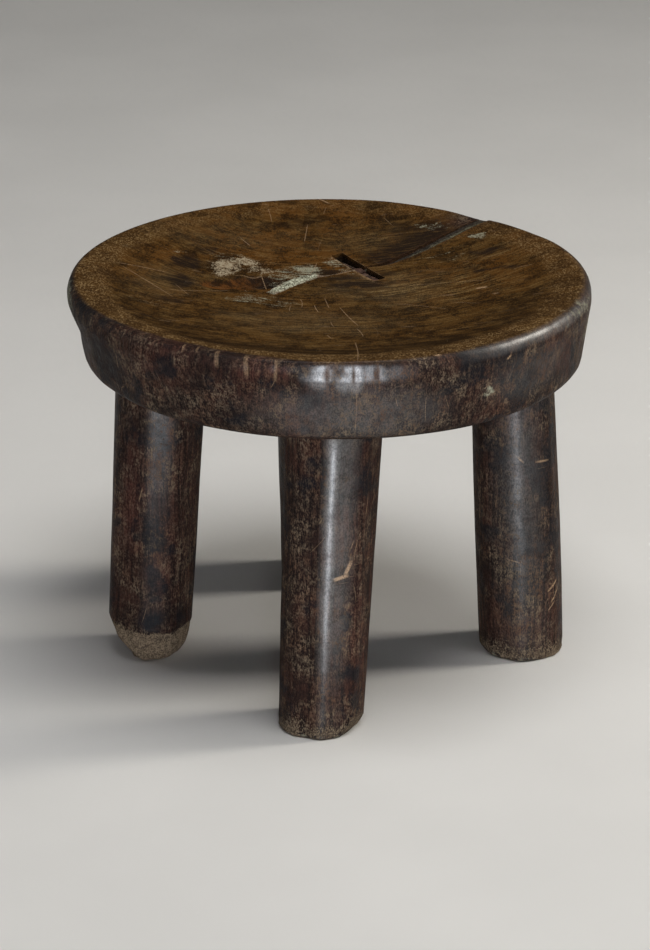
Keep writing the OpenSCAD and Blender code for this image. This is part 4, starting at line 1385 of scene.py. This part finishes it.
        scratch: object = 0.0
        for k in range(Scratches.layers):
            line = abs(mask(f"scratch_gap_{k}")).step(1.1, 0.4) * mask(f"scratch_{k}")
            scratch = most(scratch, line)
        hairs = brush.group(effects.hairs, Place=place, Stretch=Axis.HAIRS.value, Thin=0.006, Amount=0.3)
        scratch = most(scratch, hairs * top * 0.25)
        lip = abs(mask("slot_gap")).step(0.7, 0.15)
        scratch = most(scratch, lip * mottle * 0.6)
        broken = scratch * grit.step(0.36, 0.56, 0.35, 1.0)
        colour = colour.under(broken * 0.75, self.bare)

        bank = mask("bank") * mottle.step(0.0, 1.0, 0.3, 0.9)
        # Darker banks along the check, then painted shade in the slot's pocket.
        colour = colour.under(bank * 0.6, self.bank).under(mask("sunk") * 0.85, self.sunk)
        dust = (mask("dust") + ragged * 0.7).step(0.3, 0.62)
        dusty = brush.mix((grit + mottle * 0.12).step(0.42, 0.68), self.dust_dark, self.dust)
        colour = colour.under(dust * 0.85, dusty)

        # Dirt and the painted crest highlight, which make the wood rougher and less polished.
        grime_and_sheen = most(most(dust, crust), most(tan, pale))
        gloss = noise(place, 0.12, 4.0, 0.6).step(0.3, 0.7, 0.4, 0.56)
        rough = brush.math("ADD", gloss, grime_and_sheen * 0.3 + top * 0.04, clamp=True)
        rubbed_off = noise(place, 0.13, 5.0, 0.7).step(0.36, 0.56, 0.62, 1.0)
        polish = mask("polish") * grime_and_sheen.step(0.8, 0.1, 0.15, 1.0) * rubbed_off * (fibres * 0.5 + grit).step(
            0.35, 1.0, 0.6, 1.0)
        relief = (specks * 0.16 + mottle * 0.25) + brush.mix_value(top, upright, across) * 0.25
        relief = relief + most(crust, dust) * 0.2 + grime_and_sheen * 0.25 - broken * 0.55
        brush.dress({"Base Color": colour, "Roughness": rough, "Specular IOR Level": 0.045, "Coat Roughness": 0.43,
                     "Coat IOR": 2.9, "Coat Weight": polish}, relief, 0.8, 0.0007)
        return material


@dataclass(frozen=True)
class IronFinish:
    """Forged iron, dark brown and scaly with rust."""

    dark: Colour = (0.022, 0.0135, 0.0105)
    rust: Colour = (0.085, 0.034, 0.017)
    dust: Colour = (0.16, 0.115, 0.08)

    def build(self, effects: Effects) -> bpy.types.Material:
        """The iron's material: rust in patches over dark scale, duller and lumpier where it lies."""
        material, brush, place = start_material("rusty_iron")
        rust = brush.noise(place, 0.35, 5.0, 0.65).step(0.42, 0.62)
        pits = brush.noise(place, 1.6, 4.0, 0.6)
        dirt = brush.group(effects.grains, Place=place, Grain=1.2, Patch=0.25, Amount=0.5)
        colour = brush.mix(rust, self.dark, self.rust).under(dirt * 0.5, self.dust)
        brush.dress({"Base Color": colour, "Roughness": rust * 0.3 + 0.5, "Metallic": rust.step(0.0, 0.5, 0.45, 0.0)},
                    pits + rust * 0.5, 0.7, 0.0004)
        return material


@dataclass(frozen=True)
class FillFinish:
    """A dry fill: two colours in patches, a third at one side, dirt grains, and cracks between cells."""

    name: str
    dark: Colour
    light: Colour
    crack: Colour
    cell: float
    cracks: float
    edge: Colour | None = None
    edge_from: float = 0.0
    edge_to: float = 0.0
    neck: Colour = (0.17, 0.115, 0.08)
    roughness: float = 0.7
    bump: float = 0.7
    # The check's run on the seat's plan, against which its streaks are turned, in degrees
    run: float = -43.0

    def build(self, effects: Effects) -> bpy.types.Material:
        """The fill's material. Cracks follow the edges of cells, and the edge colour its share across."""
        material, brush, place = start_material(self.name)
        patch = brush.noise(place, 0.22, 5.0, 0.65).step(0.36, 0.64)
        fine = brush.noise(place, 1.3, 4.0, 0.6)
        colour = brush.mix(patch, self.dark, self.light)
        share = brush.mask("across") + (brush.noise(place, 0.3, 4.0) - 0.5) * 0.8
        if self.edge:
            drawn = brush.group(effects.streaks, Place=brush.turned(place, self.run), Stretch=Axis.ALONG_CHECK.value,
                                Bend=6.0, Low=0.38, High=0.64)
            colour = colour.under(share.step(self.edge_from, self.edge_to) * drawn.step(0.1, 0.8, 0.1, 1.0), self.edge)
        else:
            colour = colour.under(abs(share - 0.5).step(0.26, 0.5), self.neck)
        grains = brush.group(effects.grains, Place=place, Grain=1.2, Patch=0.2, Amount=0.6)
        colour = colour.under(grains * 0.45, self.light)
        shaken = brush.vector("ADD", place, brush.vector("MULTIPLY", brush.bend(place, 0.5), (3.0, 3.0, 3.0)))
        crack = brush.cell_edges(shaken, self.cell).step(0.09, 0.02) * self.cracks
        colour = colour.under(crack, self.crack)
        if not self.edge:
            colour = colour.under(brush.mask("neck") * 0.9, self.neck)
        brush.dress({"Base Color": colour, "Roughness": fine * 0.3 + (self.roughness - 0.15),
                     "Specular IOR Level": 0.05}, (fine + patch * 0.4) - crack * 0.8, self.bump, 0.0006)
        return material


GREY_RESIN = FillFinish("grey_resin", dark=(0.012, 0.0085, 0.0075), light=(0.045, 0.036, 0.027),
                        edge=(0.118, 0.11, 0.07), crack=(0.01, 0.008, 0.007), cell=0.16, cracks=0.6,
                        edge_from=0.3, edge_to=0.62, roughness=0.78)
PALE_CLAY = FillFinish("pale_clay", dark=(0.2, 0.19, 0.13), light=(0.54, 0.55, 0.42), crack=(0.05, 0.038, 0.022),
                       cell=0.36, cracks=0.85, roughness=0.9, bump=1.0)
BROWN_RESIN = FillFinish("brown_resin", dark=(0.04, 0.02, 0.015), light=(0.1, 0.058, 0.043),
                         crack=(0.02, 0.012, 0.01), cell=0.3, cracks=0.5, neck=(0.07, 0.04, 0.03), roughness=0.62)


def aim(thing: bpy.types.Object, place: tuple[float, float, float], look: tuple[float, float, float],
        roll: float = 0.0) -> None:
    """Stands a lamp or a camera at a place, looking at another, rolled by some degrees."""
    turn = (Vector(look) - Vector(place)).to_track_quat("-Z", "Y").to_matrix().to_4x4()
    thing.matrix_world = Matrix.Translation(place) @ turn @ Matrix.Rotation(math.radians(roll), 4, "Z")


@dataclass(frozen=True)
class Lamp:
    """A soft rectangular lamp: where it stands, where it looks, its size, its power, its colour and its spread."""

    name: str
    place: tuple[float, float, float]
    look: tuple[float, float, float]
    size: tuple[float, float]
    power: float
    colour: Colour = (1.0, 1.0, 1.0)
    spread: float = 180.0

    def build(self) -> None:
        """Puts the lamp into the scene."""
        data = bpy.data.lights.new(self.name, "AREA")
        data.shape, data.size, data.size_y = "RECTANGLE", *self.size
        data.energy, data.color = self.power, self.colour
        data.spread = math.radians(self.spread)
        lamp = add_object(self.name, data)
        lamp.visible_camera = False
        aim(lamp, self.place, self.look)


@dataclass(frozen=True)
class Studio:
    """The camera that was fitted to the stool's outline, a pale floor, a pale room and soft lamps."""

    focal_pixels: float = 3684.21
    frame_pixels: float = 950.0
    sensor: float = 36.0
    camera_place: tuple[float, float, float] = (-0.002178, -2.132589, 0.961401)
    camera_look: tuple[float, float, float] = (-0.00218, 0.0, 0.1159)
    camera_roll: float = 0.26
    floor_half: float = 9.0
    floor_colour: Colour = (0.66, 0.65, 0.63)
    floor_darker: float = 0.96
    room_colour: Colour = (1.0, 0.99, 0.97)
    room_strength: float = 0.07
    lamps: tuple[Lamp, ...] = (
        Lamp("front_lamp", (0.1, -2.3, 0.14), (0, 0, 0.14), (0.24, 0.26), 1.85, (0.88, 0.93, 1.0), 40.0),
        Lamp("top_lamp", (0.3, -0.5, 2.4), (0, 0, 0), (1.3, 1.3), 40.0),
        Lamp("right_lamp", (1.9, 0.3, 1.2), (0, 0, 0.2), (0.4, 0.8), 26.0, (1.0, 0.95, 0.86)),
        Lamp("left_lamp", (-1.9, 0.6, 0.8), (0, 0, 0.2), (0.4, 0.8), 2.5),
    )

    def camera(self) -> None:
        """Makes the camera and sets it as the scene's own."""
        data = bpy.data.cameras.new("camera")
        data.lens = self.focal_pixels / self.frame_pixels * self.sensor
        camera = add_object("camera", data)
        aim(camera, self.camera_place, self.camera_look, self.camera_roll)
        bpy.context.scene.camera = camera

    def floor(self) -> None:
        """A flat pale floor at nought, faintly clouded."""
        half = self.floor_half
        mesh = bpy.data.meshes.new("floor")
        mesh.from_pydata([(-half, -half, 0), (half, -half, 0), (half, half, 0), (-half, half, 0)], [], [(0, 1, 2, 3)])
        piece = add_object("floor", mesh)
        material = bpy.data.materials.new("floor_paint")
        material.use_nodes = True
        brush = Brush(material.node_tree)
        cloud = brush.noise(brush.add("TexCoord", {}, "Object"), 6.0).step(0.3, 0.7)
        darker = tuple(self.floor_darker * part for part in self.floor_colour)
        brush.dress({"Base Color": brush.mix(cloud, darker, self.floor_colour), "Roughness": 0.9,
                     "Specular IOR Level": 0.1})
        mesh.materials.append(material)

    def build(self) -> None:
        """Sets the room's light, the view transform, the floor and the lamps."""
        scene = bpy.context.scene
        scene.view_settings.view_transform = "Standard"
        world = bpy.data.worlds.new("room")
        world.use_nodes = True
        room = world.node_tree.nodes["Background"]
        room.inputs["Color"].default_value = (*self.room_colour, 1.0)
        room.inputs["Strength"].default_value = self.room_strength
        scene.world = world
        self.floor()
        for lamp in self.lamps:
            lamp.build()


GREY_STRIP = Fill("grey_resin_strip", first=0.525, last=0.985, rise=-1.6, gap_left=0.0, gap_right=0.8, rough=0.55,
                  seed=301)
PALE_STRIP = Fill("pale_clay_strip", first=0.0, last=0.47, rise=0.3, gap_left=-0.3, gap_right=-0.3, rough=0.75,
                  seed=311)


def main() -> None:
    """Builds the camera, the carved block, the iron, the fills and the studio, in that order."""
    logging.basicConfig(level=logging.INFO, format="%(name)s: %(message)s")
    studio = Studio()
    studio.camera()
    effects = Effects()
    block = Block()
    seat, cramp = block.seat, block.cramp
    enlist(block.carve(), "carved_block", Slot.WOOD, WoodFinish().build(effects))
    enlist(cramp.staple(0.0, "cramp_staple"), "iron_cramp", Slot.IRON, IronFinish().build(effects))
    enlist(GREY_STRIP.build(seat), "grey_check_fill", Slot.GREY, GREY_RESIN.build(effects))
    enlist(PALE_STRIP.build(seat), "pale_pith_fill", Slot.PALE, PALE_CLAY.build(effects))
    enlist(cramp.bridge(), "cramp_bridge_fill", Slot.BROWN, BROWN_RESIN.build(effects))
    studio.build()


if __name__ == "__main__":
    main()
